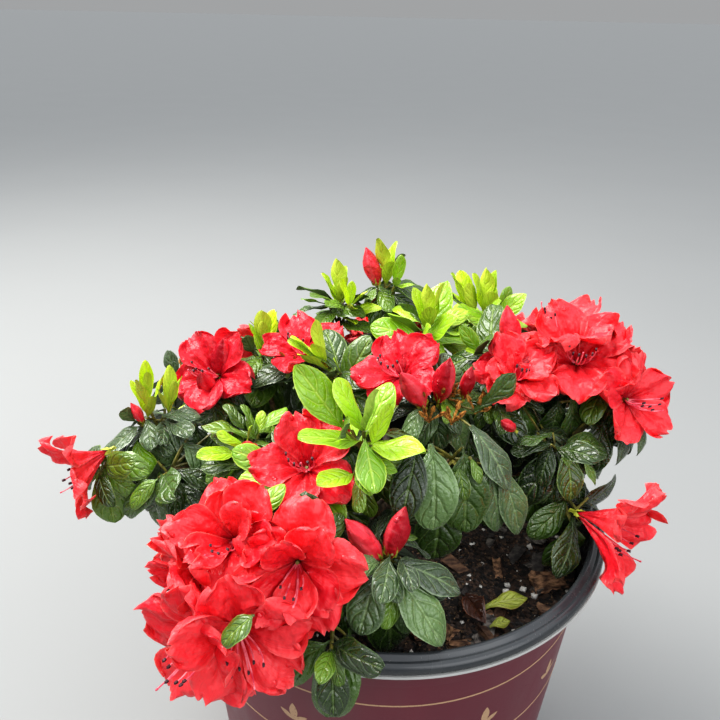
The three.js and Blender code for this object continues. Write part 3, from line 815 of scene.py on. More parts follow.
@dataclass(frozen=True)
class ShrubBark(Finish):
    """Thin bark: grey-brown and fissured on old wood, smoother with pale breathing pores on young twigs."""

    dark: str
    light: str
    moss: str
    grain: float

    def dress(self, add: Adder) -> dict[str, Filling]:
        """Gives the bark its fissures and patches.

        Args:
            add: Adds a node.

        Returns:
            The shader's inputs.
        """
        fissures = self.mottle(add, self.grain, 5)
        patches = add(Node.RAMP, self.mottle(add, self.grain * 5), 0.45, 0.7, 0, 0.55)
        bark = add(Node.BLEND, add(Node.RAMP, fissures, 0.35, 0.68), self.dark, self.light)
        return {
            "Base Color": add(Node.BLEND, patches, bark, self.moss),
            "Roughness": 0.8, "Normal": add(Node.BUMP, fissures, 0.5 * MM, 0.8)}


@dataclass(frozen=True)
class LeafBlade(Finish):
    """A living leaf: quilted between sunken veins, with a soft waxy gloss above and a paler felt below."""

    dark: str
    light: str
    vein: str
    margin: str
    below: str
    gloss: float = 0.38
    sheen: float = 0.0
    quilting: float = 0.8
    vein_pairs: float = 4.5

    def dress(self, add: Adder) -> dict[str, Filling]:
        """Gives the blade its veins, margin, mottling, painted light and shade over its quilting, and its
        underside.

        Args:
            add: Adds a node.

        Returns:
            The shader's inputs.
        """
        _, along, out = self.blade_place(add)
        curve = add(Node.MULTIPLY, add(Node.MULTIPLY_ADD, out, 0.2, 0.22), out)
        even = add(Node.MULTIPLY, add(Node.SUBTRACT, along, curve), self.vein_pairs * math.pi)
        phase = add(Node.MULTIPLY_ADD, self.mottle(add, 9, 1), 1.8, even)
        ridge = add(Node.ABSOLUTE, add(Node.SINE, phase))
        hold = add(Node.RAMP, out, 0.66, 0.95, 1, 0)
        pillow_relief_and_painted_light = add(Node.MULTIPLY, add(Node.RAMP, ridge, -0.2, 0.85), hold)
        thread = add(Node.MULTIPLY, add(Node.RAMP, ridge, 0.03, 0.22, 0.55, 0), hold)
        quilt = add(Node.RAMP, add(Node.CELL_WALLS, add(Node.OBJECT_PLACE), per_mm(3.2)), 0.0, 0.3)
        midrib = add(Node.RAMP, out, 0.02, 0.13, 1, 0)
        patches = add(Node.MULTIPLY_ADD, self.mottle(add, 7), 0.6, add(Node.TINT))
        # The raised pillows between the veins are painted lighter and the sunken veins darker: painted light
        # and shade over the relief, on top of the leaf's own patches.
        share = add(Node.MULTIPLY_ADD, pillow_relief_and_painted_light, 0.16 * self.quilting, patches)
        blade = add(Node.BLEND, add(Node.RAMP, share, 0.3, 1.65), self.dark, self.light)
        lines = add(Node.MAXIMUM, add(Node.MULTIPLY, midrib, 0.45), thread)
        veined = add(Node.BLEND, lines, blade, self.vein)
        edged = add(Node.BLEND, add(Node.RAMP, out, 0.86, 1.0, 0, 0.55), veined, self.margin)
        under = add(Node.UNDERSIDE)
        waxy = add(Node.RAMP, self.mottle(add, 2.2), 0.3, 0.7, self.gloss - 0.05, self.gloss + 0.12)
        felted = add(Node.MULTIPLY_ADD, under, 0.35, waxy)
        quilted = add(Node.MULTIPLY_ADD, quilt, 0.22, pillow_relief_and_painted_light)
        fine = add(Node.MULTIPLY_ADD, self.mottle(add, 1.1, 2), 0.25, quilted)
        beaded, rough = self.rain(add, add(Node.SUBTRACT, fine, midrib), felted)
        return {
            "Base Color": add(Node.BLEND, under, edged, self.below), "Roughness": rough,
            "Sheen Weight": self.sheen, "Specular IOR Level": 0.75,
            "Normal": add(Node.BUMP, beaded, 1.0 * MM, self.quilting)}


@dataclass(frozen=True)
class Petal(Finish):
    """A blossom's petal: velvety and glowing, deeper in the throat, with fine veins to its ruffled edge."""

    throat: str
    body: str
    bright: str
    # The edge colour is partly the petal's own paler margin and partly a painted highlight.
    edge: str

    def dress(self, add: Adder) -> dict[str, Filling]:
        """Gives the petal its depth of colour, veins and soft glow.

        Args:
            add: Adds a node.

        Returns:
            The shader's inputs.
        """
        place, along, out = self.blade_place(add)
        patches = add(Node.MULTIPLY_ADD, self.mottle(add, 9), 0.8, add(Node.TINT))
        body = add(Node.BLEND, add(Node.RAMP, patches, 0.3, 1.4), self.body, self.bright)
        deep = add(Node.BLEND, add(Node.RAMP, along, 0.0, 0.42), self.throat, body)
        # The paler edge colour along the margin and the tip is partly the petal's own paler margin and partly
        # a painted highlight where the thin edge catches light.
        rims = (add(Node.RAMP, out, 0.85, 1, 0, 0.5), add(Node.RAMP, along, 0.9, 1, 0, 0.5))
        veins = add(Node.NOISE, add(Node.STRETCHED, place, (2.2, 26, 1)), 1.0, 2.0)
        lined = add(Node.BLEND, add(Node.RAMP, veins, 0.56, 0.72, 0, 0.35), deep, self.throat)
        crumpled = add(Node.MULTIPLY_ADD, self.mottle(add, 3.4, 1), 0.35, self.mottle(add, 8, 1))
        beaded, rough = self.rain(add, add(Node.MULTIPLY_ADD, veins, 0.16, crumpled), 0.4)
        return {
            "Base Color": add(Node.BLEND, add(Node.MAXIMUM, *rims), lined, self.edge),
            "Roughness": rough, "Specular IOR Level": 0.4, "Subsurface Weight": 0.35,
            "Subsurface Radius": (1.0, 0.25, 0.2), "Subsurface Scale": 2.2 * MM,
            "Normal": add(Node.BUMP, beaded, 3.6 * MM, 0.8)}


@dataclass(frozen=True)
class PlantFlesh(Finish):
    """Small living parts, such as filaments, scales and young twigs: smooth and slightly waxy."""

    dark: str
    light: str
    size: float
    roughness: float = 0.5

    def dress(self, add: Adder) -> dict[str, Filling]:
        """Returns the shader's inputs, for a gentle change of colour."""
        share = add(Node.RAMP, self.mottle(add, self.size), 0.35, 0.65)
        return {
            "Base Color": add(Node.BLEND, share, self.dark, self.light),
            "Roughness": self.roughness,
            "Normal": add(Node.BUMP, self.mottle(add, self.size / 3, 2), 0.2 * MM, 0.4)}


@dataclass(frozen=True)
class StudioFloor(Finish):
    """A plain pale floor with the least trace of cloud, so that it doesn't look cut out."""

    colour: str

    def dress(self, add: Adder) -> dict[str, Filling]:
        """Returns the shader's inputs, for a floor with faint clouds."""
        clouds = self.mottle(add, 260)
        return {"Base Color": add(Node.BLEND, clouds, *shades(self.colour, 0.96, 1)), "Roughness": 0.85}


# Plastics gleam softly, the inner layer most. The ink on them is flat and lighter.
MAROON = MouldedPlastic("maroon_blow_moulded_plastic", "#62202e", "#8d6765", 0.4, 0.16)
BLACK = MouldedPlastic("black_inner_plastic", "#313437", "#77746e", 0.2, 0.1, 0.2)
# The lip's pale grey is a painted highlight where its edge catches the light, with real dust on it.
LIP_HIGHLIGHT = MouldedPlastic("lip_painted_highlight", "#acaca9", "#a5a39e", 0.4, 0.1)
INK = PrintedInk("tan_screen_print", "#b08f70", "#6a3f3d")

# The mix is near black and damp, so that crumbs, nuggets and perlite stand out on it.
MIX = BarkMix("moist_bark_potting_mix", "#0e0a08", "#463428", "#8a6c4e")
FINES = BarkMix("bark_fines", "#140f0c", "#4d3a2a", "#a08058", 1.8, 0.35)
NUGGET = BarkFlake("brown_bark_nugget", "#38241a", "#b58a66")
OLD_NUGGET = BarkFlake("weathered_bark_nugget", "#262321", "#8f877e")
# The perlite's greyer second colour is painted shade in its pits.
PERLITE = Perlite("white_perlite", "#eceae3", "#b9b3a8")

# Old wood is rough and dull. Young twigs are smoother and greener.
OLD_WOOD = ShrubBark("old_azalea_bark", "#3c2f26", "#85705a", "#68695a", 2.6)
TWIG_BARK = ShrubBark("young_azalea_bark", "#4a3524", "#7f6441", "#6a7438", 1.6)

# Old leaves are dark and glossy with rain. Young ones are lighter, thinner and softer to the eye.
LEAVES = {
    DARK: LeafBlade(
        "dark_leaf_blade", "#16270a", "#48671f", "#6c8544", "#526d30", "#62744a", 0.24, 0.05, 0.85),
    # The grey-green blade is partly the leaves' own greyer green and partly a painted sheen of the bright sky
    # on wet leaves.
    GREY: LeafBlade(
        "grey_green_leaf_painted_sheen", "#263a1c", "#5f7c42", "#86a066", "#7b9262", "#75876a", 0.25, 0.15, 0.75),
    MID: LeafBlade(
        "mid_green_leaf_blade", "#2a430e", "#6c8f28", "#93ae4e", "#829c42", "#6d8450", 0.28, 0, 0.7),
    FRESH: LeafBlade(
        "fresh_green_leaf_blade", "#6c9c0c", "#b0d824", "#c8de60", "#d0e254", "#a8c84c", 0.32, 0, 0.55),
    LIME: LeafBlade(
        "lime_leaf_blade", "#94b808", "#d2ea18", "#dcec5c", "#e2ea58", "#bdd234", 0.34, 0, 0.5),
}

# Petals glow from within. The deep red copy is painted shade for blossoms inside the crown; buds are deep
# red, and small parts waxy.
CORAL = Petal("coral_red_petal", "#b3061f", "#e01a2b", "#f23a41", "#fb5f60")
CRIMSON_SHADE = Petal("deep_red_petal_painted_shade", "#9b041d", "#cd0f26", "#e52737", "#ee4450")
BUD_RED = Petal("bud_petal", "#a8081f", "#c40f24", "#e62f3f", "#f3606c")
FILAMENT = PlantFlesh("pink_filament", "#d8405a", "#f08c98", 6, 0.4)
ANTHER = PlantFlesh("dark_anther", "#2a1318", "#54303a", 0.8, 0.6)
SCALE = PlantFlesh("yellow_green_bud_scale", "#8f9a2c", "#c9c853", 2.5)
YOUNG_TWIG = PlantFlesh("young_twig_skin", "#4c4a1e", "#7f7a36", 4)
SPENT = PlantFlesh("spent_brown_calyx", "#7f4c20", "#cc9448", 2.5, 0.65)

# What has dropped is yellow or brown, and dull.
FALLEN = LeafBlade("fallen_yellow_leaf", "#8b9a2c", "#bcc254", "#d3d48a", "#8a5626", "#a8aa5e")
DEAD = LeafBlade("dead_brown_leaf", "#2a150e", "#563020", "#7a4a2e", "#8a4a1c", "#6a4b38")

# The floor is plain, so that nothing draws the eye from the plant.
FLOOR = StudioFloor("pale_studio_floor", "#8b8c8b")


class Swarm:
    """Many small shapes gathered into one mesh, with a tint for each."""

    def __init__(self) -> None:
        """Starts an empty swarm."""
        self.rows: list[tuple[Array, ...]] = []
        self.nodes: set[str] = set()
        self.total = 0

    def add(self, form: Form, points: Array, tint: float = 0.5, node: str | None = None) -> None:
        """Adds one shape.

        Args:
            form: The shape's faces.
            points: Where its points lie, in millimetres.
            tint: Where it lies between its finish's two colours, from 0 to 1.
            node: The CAD node that it helps to stand for.
        """
        flat = np.stack([form.points[:, 0], form.points[:, 1] / 2 + 0.5], axis=1)[form.corners]
        tints = np.full(len(form.counts), tint)
        under = form.under.astype(float)
        self.rows.append((points, form.corners + self.total, form.counts, flat, tints, under))
        self.total += len(points)
        if node is not None:
            self.nodes.add(node)

    def piece(self, name: str, finish: Finish, slot: str, sharp: float = 60) -> bpy.types.Object:
        """Makes the swarm one finished piece.

        Args:
            name: The piece's name.
            finish: Its finish.
            slot: Not used.
            sharp: Edges that turn by more than this many degrees stay crisp.

        Returns:
            The piece.
        """
        mesh = bpy.data.meshes.new(name)
        points, corners, counts, flat, tints, under = (np.concatenate(held) for held in zip(*self.rows))
        mesh.vertices.add(self.total)
        mesh.vertices.foreach_set("co", (points * MM).astype(np.float32).ravel())
        mesh.loops.add(len(corners))
        mesh.loops.foreach_set("vertex_index", corners.astype(np.int32))
        mesh.polygons.add(len(counts))
        starts = np.concatenate([[0], np.cumsum(counts)[:-1]])
        mesh.polygons.foreach_set("loop_start", starts.astype(np.int32))
        mesh.polygons.foreach_set("use_smooth", np.ones(len(counts), bool))
        mesh.uv_layers.new(name="blade").data.foreach_set("uv", flat.ravel())
        for label, values in (("tint", tints), ("under", under)):
            store = mesh.attributes.new(label, "FLOAT", "FACE")
            store.data.foreach_set("value", values.astype(np.float32))
        mesh.update(calc_edges=True)
        mesh.validate()
        mesh.set_sharp_from_angle(angle=math.radians(sharp))
        return finish_piece(mesh, name, finish, sorted(self.nodes))


def placed(name: str, data: bpy.types.ID) -> bpy.types.Object:
    """Puts an object with its data in the scene."""
    made = bpy.data.objects.new(name, data)
    bpy.context.scene.collection.objects.link(made)
    return made


def mesh_from(shape: bmesh.types.BMesh, name: str) -> bpy.types.Mesh:
    """Makes a bmesh a named mesh and frees the bmesh."""
    mesh = bpy.data.meshes.new(name)
    shape.to_mesh(mesh)
    shape.free()
    return mesh


def finish_piece(
    mesh: bpy.types.Mesh, name: str, finish: Finish, nodes: list[str],
) -> bpy.types.Object:
    """Puts a mesh in the scene as a finished piece.

    Args:
        mesh: The mesh, in metres and in place.
        name: The piece's name.
        finish: Its finish.
        nodes: The CAD nodes that it stands for.

    Returns:
        The piece.
    """
    piece = placed(name, mesh)
    mesh.materials.append(finish.material())
    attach(piece, "root")
    if nodes:
        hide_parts(*nodes)
    triangles = sum(len(face.vertices) - 2 for face in mesh.polygons)
    LOG.info("%s: %d triangles", name, triangles)
    return piece


def shell_piece(
    shape: bmesh.types.BMesh, name: str, finish: Finish, nodes: list[str], smooth: float = 40,
) -> bpy.types.Object:
    """Makes a bmesh a finished piece.

    Args:
        shape: The bmesh, in millimetres.
        name: The piece's name.
        finish: Its finish.
        nodes: The CAD nodes that it stands for.
        smooth: Edges that turn by less than this many degrees look round.

    Returns:
        The piece.
    """
    bmesh.ops.scale(shape, verts=shape.verts[:], vec=(MM, MM, MM))
    bmesh.ops.recalc_face_normals(shape, faces=shape.faces[:])
    for face in shape.faces:
        face.smooth = True
    mesh = mesh_from(shape, name)
    mesh.set_sharp_from_angle(angle=math.radians(smooth))
    return finish_piece(mesh, name, finish, nodes)


def spun(profile: list[Pair], steps: int) -> bmesh.types.BMesh:
    """Spins a profile of (radius, height) points round the pot's axis into a closed shell.

    Args:
        profile: The points, in order. A closed ring of points repeats its first point at its end.
        steps: Faces round the axis.

    Returns:
        The shell.
    """
    shape = bmesh.new()
    verts = [shape.verts.new((radius, 0, height)) for radius, height in profile]
    edges = [shape.edges.new(pair) for pair in zip(verts, verts[1:])]
    bmesh.ops.spin(
        shape, geom=verts + edges, cent=(0, 0, 0), axis=(0, 0, 1), dvec=(0, 0, 0),
        angle=TAU, steps=steps, use_merge=True, use_duplicate=False)
    bmesh.ops.remove_doubles(shape, verts=shape.verts[:], dist=0.01)
    return shape


@dataclass
class Pot:
    """The nursery pot: a maroon skin over a black inner layer that rolls over at the rim."""

    height: float = 240
    rim_radius: float = 140
    rim_inner: float = 130
    rim_depth: float = 10
    wall_top: float = 132
    foot: float = 113
    wall: float = 2.5
    skin: float = 1.2
    step_height: float = 214
    step: float = 1.2
    notches: int = 8
    notch_radius: float = 11
    steps: int = 144
    stripes: Pair = (196, 148)
    stripe: float = 1.1
    sprigs: int = 14

    def outer(self, height: float) -> float:
        """Returns the wall's outer radius at a height."""
        slope = (self.wall_top - self.foot) / (self.height - self.rim_depth)
        return self.foot + slope * height - (self.step if height < self.step_height else 0)

    @staticmethod
    def arc(centre: Pair, half: Pair, span: Pair, count: int) -> list[Pair]:
        """Sets out profile points along an ellipse's arc.

        Args:
            centre: The radius and height of its middle.
            half: Its half width and half height.
            span: The angles where the arc starts and ends, in degrees from outward.
            count: How many points.

        Returns:
            The points, as radius and height.
        """
        return [
            (centre[0] + half[0] * math.cos(a), centre[1] + half[1] * math.sin(a))
            for a in np.radians(np.linspace(*span, count))]

    def ring(self, name: str, profile: list[Pair], finish: Finish) -> bpy.types.Object:
        """Spins a closed ring of profile points into one finished piece of the pot."""
        shape = spun([*profile, profile[0]], self.steps)
        return shell_piece(shape, name, finish, ["pot"])

    def build_skin(self) -> None:
        """Makes the maroon outer wall, from its rounded foot to the step and up to the rim."""
        top = self.height - self.rim_depth
        round_foot = [
            (self.foot - 6 + 6 * math.sin(a), 6 - 6 * math.cos(a)) for a in np.linspace(0, math.pi / 2, 6)]
        profile = [
            (self.foot - 14, 3.2), (self.foot - 14, 0), *round_foot[:-1],
            *[(self.outer(h), h) for h in np.linspace(6, self.step_height - 1.4, 12)],
            (self.outer(self.step_height), self.step_height - 0.4),
            (self.outer(self.step_height) + 0.2, self.step_height + 1),
            (self.outer(top), top + 1), (self.outer(top) - self.skin, top + 1),
            (self.outer(self.step_height) - 1.4, self.step_height),
            *[(self.outer(h) - self.skin, h) for h in np.linspace(self.step_height - 3, 4, 8)],
        ]
        self.cut_notches(self.ring("pot_skin", profile, MAROON))

    def build_liner(self) -> None:
        """Makes the black inner wall with its rolled rim, and the floor."""
        roll = [
            *self.arc((self.rim_radius - 3.2, self.height - 5.2), (3.2, 3.6), (-60, 100), 9),
            (self.rim_radius - 4.6, self.height - 2.1), (self.rim_radius - 5.2, self.height - 1.9),
            *self.arc((self.rim_inner + 2.4, self.height - 2.6), (2.4, 2.6), (60, 200), 8)]
        base, above = self.height - self.rim_depth, self.notch_radius + 2
        profile = [
            (self.outer(above) - 1.4, above), (self.outer(base) - 1.4, base + 0.6),
            (self.rim_radius - 4.2, base + 0.6), *roll,
            (self.wall_top - self.wall - 0.6, base - 2), (self.outer(above) - self.wall, above)]
        self.ring("pot_liner_and_rim", profile, BLACK)
        edge = self.foot - self.notch_radius
        plate = [(0, 0.4), (edge, 0.4), (edge, 3), (0, 3)]
        shell_piece(spun(plate, self.steps), "pot_floor", BLACK, ["pot"])

    def build_lip_highlight(self) -> None:
        """Makes the lip's edge under the rolled rim, painted pale all round as a highlight where it catches
        light.
        """
        low = self.height - self.rim_depth
        outer, inner = self.rim_radius, self.rim_radius - 4.5
        profile = [
            (inner, low), (outer - 0.3, low), (outer, low + 0.3),
            (outer, low + 1.2), (outer - 0.3, low + 1.6), (inner, low + 1.6)]
        self.ring("pot_lip_highlight", profile, LIP_HIGHLIGHT)

    def cut_notches(self, piece: bpy.types.Object) -> None:
        """Cuts the drain notches out of a wall's foot.

        Args:
            piece: The wall.
        """
        cutter = bmesh.new()
        for i in range(self.notches):
            made = bmesh.ops.create_cone(
                cutter, segments=28, cap_ends=True, radius1=self.notch_radius, radius2=self.notch_radius,
                depth=24)["verts"]
            bmesh.ops.rotate(cutter, verts=made, cent=(0, 0, 0), matrix=Matrix.Rotation(math.pi / 2, 3, "Y"))
            bmesh.ops.translate(cutter, verts=made, vec=(self.foot + 2, 0, 1))
            turn = Matrix.Rotation((i + 0.5) * TAU / self.notches, 3, "Z")
            bmesh.ops.rotate(cutter, verts=made, cent=(0, 0, 0), matrix=turn)
        bmesh.ops.scale(cutter, verts=cutter.verts[:], vec=(MM, MM, MM))
        mesh = mesh_from(cutter, "notch_cutter")
        tool = placed("notch_cutter", mesh)
        cut = piece.modifiers.new("notches", "BOOLEAN")
        cut.operation, cut.solver, cut.object = "DIFFERENCE", "EXACT", tool
        graph = bpy.context.evaluated_depsgraph_get()
        shaped = bpy.data.meshes.new_from_object(piece.evaluated_get(graph))
        piece.modifiers.clear()
        old, piece.data = piece.data, shaped
        shaped.name = piece.name
        bpy.data.meshes.remove(old)
        bpy.data.objects.remove(tool)
        bpy.data.meshes.remove(mesh)
        shaped.set_sharp_from_angle(angle=math.radians(40))

    def build_print(self) -> None:
        """Makes the tan print: two pinstripes and a row of plain leaf sprigs between them."""
        for i, height in enumerate(self.stripes):
            radius, low, high = self.outer(height), height - self.stripe / 2, height + self.stripe / 2
            band = [(radius - 0.3, low), (radius + 0.12, low), (radius + 0.12, high), (radius - 0.3, high)]
            self.ring(f"pinstripe_{i + 1}", band, INK)
        sprigs = Swarm()
        leaf = Form.sheet(8, 2)
        middle, reach = sum(self.stripes) / 2, 15.0
        for i in range(self.sprigs):
            turn = (i + 0.5) * TAU / self.sprigs
            for lean, long in ((-0.95, 0.72), (0.0, 1.0), (0.95, 0.72)):
                along = leaf.points[:, 0] * reach * long
                width = 2.7 * long * np.sin(math.pi * leaf.points[:, 0]) ** 0.8 * leaf.points[:, 1]
                aside = along * math.sin(lean) + width * math.cos(lean)
                height = middle - reach / 2 + along * math.cos(lean) - width * math.sin(lean)
                radius = np.array([self.outer(h) for h in height]) + 0.05 + 0.08 * leaf.points[:, 2]
                angle = turn + aside / radius
                sprigs.add(leaf, np.stack([radius * np.cos(angle), radius * np.sin(angle), height], axis=1))
        sprigs.piece("printed_sprigs", INK, "pot")

    def build(self) -> None:
        """Makes every piece of the pot."""
        self.build_skin()
        self.build_liner()
        self.build_lip_highlight()
        self.build_print()


@dataclass
class RootBall:
    """The bark mix that fills the pot, with what lies on it."""

    level: float = 212
    flat_radius: float = 26
    wave: float = 3.5
    radius: float = 126.2
    foot_radius: float = 108.4
    steps: int = 120
    fines: int = 900
    nuggets: int = 96
    grains: int = 230
    draws: Draws = field(default_factory=lambda: Draws(777))

    # Bits that the photograph shows. Nuggets: place, length, width, thickness, turn in degrees and tint.
    # Leaves: name, root's place, turn in degrees, length, width, and whether it is dead.
    SEEN_NUGGETS = (
        (102, -46, 30, 15, 5, 12, 1.0), (97, -30, 20, 10, 5, 60, 0.25), (70, -36, 22, 6, 3, 80, 1.0),
        (20, -93, 20, 10, 5, 20, 0.9), (31, -91, 17, 10, 5, -50, 1.0), (44, -40, 24, 8, 4, -35, 0.4),
        (84, -20, 20, 9, 4, 40, 0.3), (96, -72, 16, 7, 4, -20, 0.6),
    )
    SEEN_LEAVES = (
        ("fallen_leaf", 56, -75, 17, 29, 10, False), ("fallen_scrap", 57, -88, 22, 14, 6.5, False),
        ("dead_leaf", 45, -67, -70, 25, 13, True),
    )
    SEEN_GRAINS = ((74, -50), (84, -52), (117, -3), (109, 3), (90, -57), (96, -12), (72, -56), (111, -22))

    def height(self, x: float, y: float) -> float:
        """Finds how high the mix stands, with its small humps.

        Args:
            x: The place's x.
            y: Its y.

        Returns:
            The height.
        """
        radius = math.hypot(x, y)
        away = max(0.0, (radius - self.flat_radius) / (self.radius - self.flat_radius))
        broad = self.wave * math.sin(3 * math.atan2(y, x) + radius / 17) * math.sin(math.pi * min(away, 1))
        small = 1.1 * wrinkle(np.array([x, y, 0.0]), 11) + 0.8 * wrinkle(np.array([x, y, 9.0]), 4.2)
        return self.level + broad - 3 * away + small

    def build_mix(self) -> None:
        """Makes the body of the mix, closed all round."""
        rings = [(r, self.level) for r in np.linspace(0, self.radius - 0.8, 54)]
        foot = [(self.foot_radius, 6), (self.foot_radius - 1, 3.6)]
        profile = [*rings, (self.radius - 0.4, self.level - 4), *foot]
        mix_body = spun([*profile, (0, 3.6)], self.steps)
        for vert in mix_body.verts:
            if vert.co.z > self.level - 1:
                vert.co.z = self.height(vert.co.x, vert.co.y)
        shell_piece(mix_body, "potting_mix", MIX, ["soil"], 180)

    def scatter(self, form: Form, swarm: Swarm, size: float, spot: Pair, sunk: float,
                turn: float, tint: float) -> None:
        """Lays one crumb on the mix.

        Args:
            form: Its shape, about 1 across.
            swarm: Where it is gathered.
            size: Its length.
            spot: Its x and y.
            sunk: How deep its middle lies.
            turn: Its turn about the vertical, in radians.
            tint: Its tint.
        """
        tips = (self.draws.between(-0.5, 0.5), self.draws.between(-0.5, 0.5))
        tipped = Matrix.Rotation(tips[0], 3, "X") @ Matrix.Rotation(tips[1], 3, "Y")
        spin = Matrix.Rotation(turn, 3, "Z") @ tipped
        points = form.points @ np.array(spin).T * size
        place = np.array([spot[0], spot[1], self.height(*spot) - sunk])
        swarm.add(form, points + place, tint)

    def spot(self) -> Pair:
        """Chooses a place on the mix, evenly, clear of the trunk.

        Returns:
            Its x and y.
        """
        radius = math.sqrt(self.draws.between(0.03, 0.96)) * self.radius
        turn = self.draws.between(0, TAU)
        return radius * math.cos(turn), radius * math.sin(turn)

    def build_bits(self) -> None:
        """Makes the bark fines, the nuggets and the perlite grains."""
        fine_forms = [Form.crumb(i, (1.0, 0.55, 0.4)) for i in range(5)]
        flat_forms = [Form.crumb(i + 20, (1.0, 0.5, 0.2), 2) for i in range(5)]
        grain_forms = [Form.crumb(i + 40, (1.0, 0.9, 0.8)) for i in range(3)]
        fines, nuggets, old, grains = (Swarm() for _ in range(4))
        for i in range(self.fines):
            size = self.draws.between(2.0, 6.5)
            self.scatter(fine_forms[i % 5], fines, size, self.spot(), 0.1, self.draws.between(0, TAU), 0.5)
        for i in range(self.nuggets):
            size = self.draws.between(8, 19)
            chosen = nuggets if self.draws.next() < 0.5 else old
            tint = self.draws.between(0.2, 1)
            self.scatter(flat_forms[i % 5], chosen, size, self.spot(), -0.4, self.draws.between(0, TAU), tint)
        for i, (x, y, long, wide, thick, turn, tint) in enumerate(self.SEEN_NUGGETS):
            form = flat_forms[i % 5]
            shaped = Form(
                form.points / np.array([1.0, 0.5, 0.2]) * np.array([1.0, wide / long, thick / long]),
                form.corners, form.counts, form.under)
            self.scatter(
                shaped, nuggets if tint > 0.3 else old, long, (x, y), -thick * 0.25, math.radians(turn), tint)
        for i in range(self.grains):
            size = self.draws.between(0.7, 2.8)
            self.scatter(grain_forms[i % 3], grains, size, self.spot(), 0.1, self.draws.between(0, TAU), 0.5)
        for i, spot in enumerate(self.SEEN_GRAINS):
            self.scatter(grain_forms[i % 3], grains, 3.9, spot, -0.6, i, 0.5)
        for name, x, y, turn, long, wide, dead in self.SEEN_LEAVES:
            lying = Swarm()
            way = np.array([math.cos(math.radians(turn)), math.sin(math.radians(turn)), 0.22])
            shape = LeafForm(0.5, 0.8, fold=0.9 if dead else 0.3, bend=0.18, twist=0.5, wave=0.06)
            sheet = Form.sheet(9, 4)
            points = shape.points(sheet, long, wide) @ axes_along(way, UP)
            lying.add(sheet, points + np.array([x, y, self.height(x, y) + 4]), 0.5)
            lying.piece(name, DEAD if dead else FALLEN, "soil")
        fines.piece("bark_fines", FINES, "soil", 180)
        nuggets.piece("bark_nuggets", NUGGET, "soil", 50)
        old.piece("weathered_nuggets", OLD_NUGGET, "soil", 50)
        grains.piece("perlite_grains", PERLITE, "soil", 180)

    def build(self) -> None:
        """Makes the mix and what lies on it."""
        self.build_mix()
        self.build_bits()


@dataclass(frozen=True)
class LeafForm:
    """How a blade is formed. Shares are of its length, or of its half width where they bend it sideways."""

    widest: float = 0.54
    blunt: float = 0.56
    stalk: float = 0.08
    fold: float = 0.2
    roll: float = 0.3
    bend: float = 0.12
    wave: float = 0.03
    twist: float = 0.0
    sway: float = 0.0
    phase: float = 0.0
    thickness: float = 0.45

    def middle(self, u: Array, v: Array, length: float, width: float) -> Array:
        """Sets out the blade's middle surface, along x, with its upper side to +z.

        Args:
            u: Shares from the root to the tip.
            v: Shares across, from -1 to 1.
            length: Its length.
            width: Its width.

        Returns:
            The points.
        """
        q = np.clip((u - self.stalk) / (1 - self.stalk), 0, 1)
        power = math.log(0.5) / math.log(self.widest)
        outline = np.sin(math.pi * q**power) ** self.blunt
        half = width / 2 * outline + 0.018 * length
        y = v * half
        z = self.fold * np.abs(y) - self.roll * half * np.abs(v) ** 3
        z += self.wave * length * np.abs(v) * np.sin(TAU * (1.6 * u) + self.phase + 1.2 * np.sign(v))
        turn = self.twist * u
        side, lift = y * np.cos(turn) - z * np.sin(turn), y * np.sin(turn) + z * np.cos(turn)
        x = u * length * (1 - 0.35 * self.bend * u)
        return np.stack([x, side + self.sway * length * u * u, lift - self.bend * length * u**2], axis=-1)

    def points(self, form: Form, length: float, width: float) -> Array:
        """Returns a sheet form's points shaped into the blade with its thickness."""
        return form.thickened(lambda u, v: self.middle(u, v, length, width), self.thickness)


LEAF_FORMS = {
    DARK: [
        LeafForm(fold=0.36, bend=0.22, twist=0.12, phase=0.4),
        LeafForm(widest=0.53, fold=0.26, bend=0.32, twist=-0.15, sway=0.03),
        LeafForm(widest=0.6, fold=0.42, bend=0.14, wave=0.045, phase=2.1),
        LeafForm(fold=0.3, bend=0.28, twist=0.3, sway=-0.04, wave=0.04)],
    LIME: [
        LeafForm(0.6, 0.66, fold=0.3, roll=0.1, bend=-0.05, twist=0.2),
        LeafForm(0.56, 0.7, fold=0.24, roll=0.1, bend=0.06, phase=1.3),
        LeafForm(0.62, 0.64, fold=0.36, roll=0.05, bend=-0.1, twist=-0.25)],
    FRESH: [
        LeafForm(0.56, 0.72, fold=0.25, roll=0.2, bend=0.03, twist=0.15),
        LeafForm(0.6, 0.68, fold=0.2, bend=0.1, phase=0.9),
        LeafForm(0.54, 0.74, fold=0.32, roll=0.12, bend=-0.04, twist=-0.2)],
}
LEAF_FORMS[GREY] = LEAF_FORMS[MID] = LEAF_FORMS[DARK]


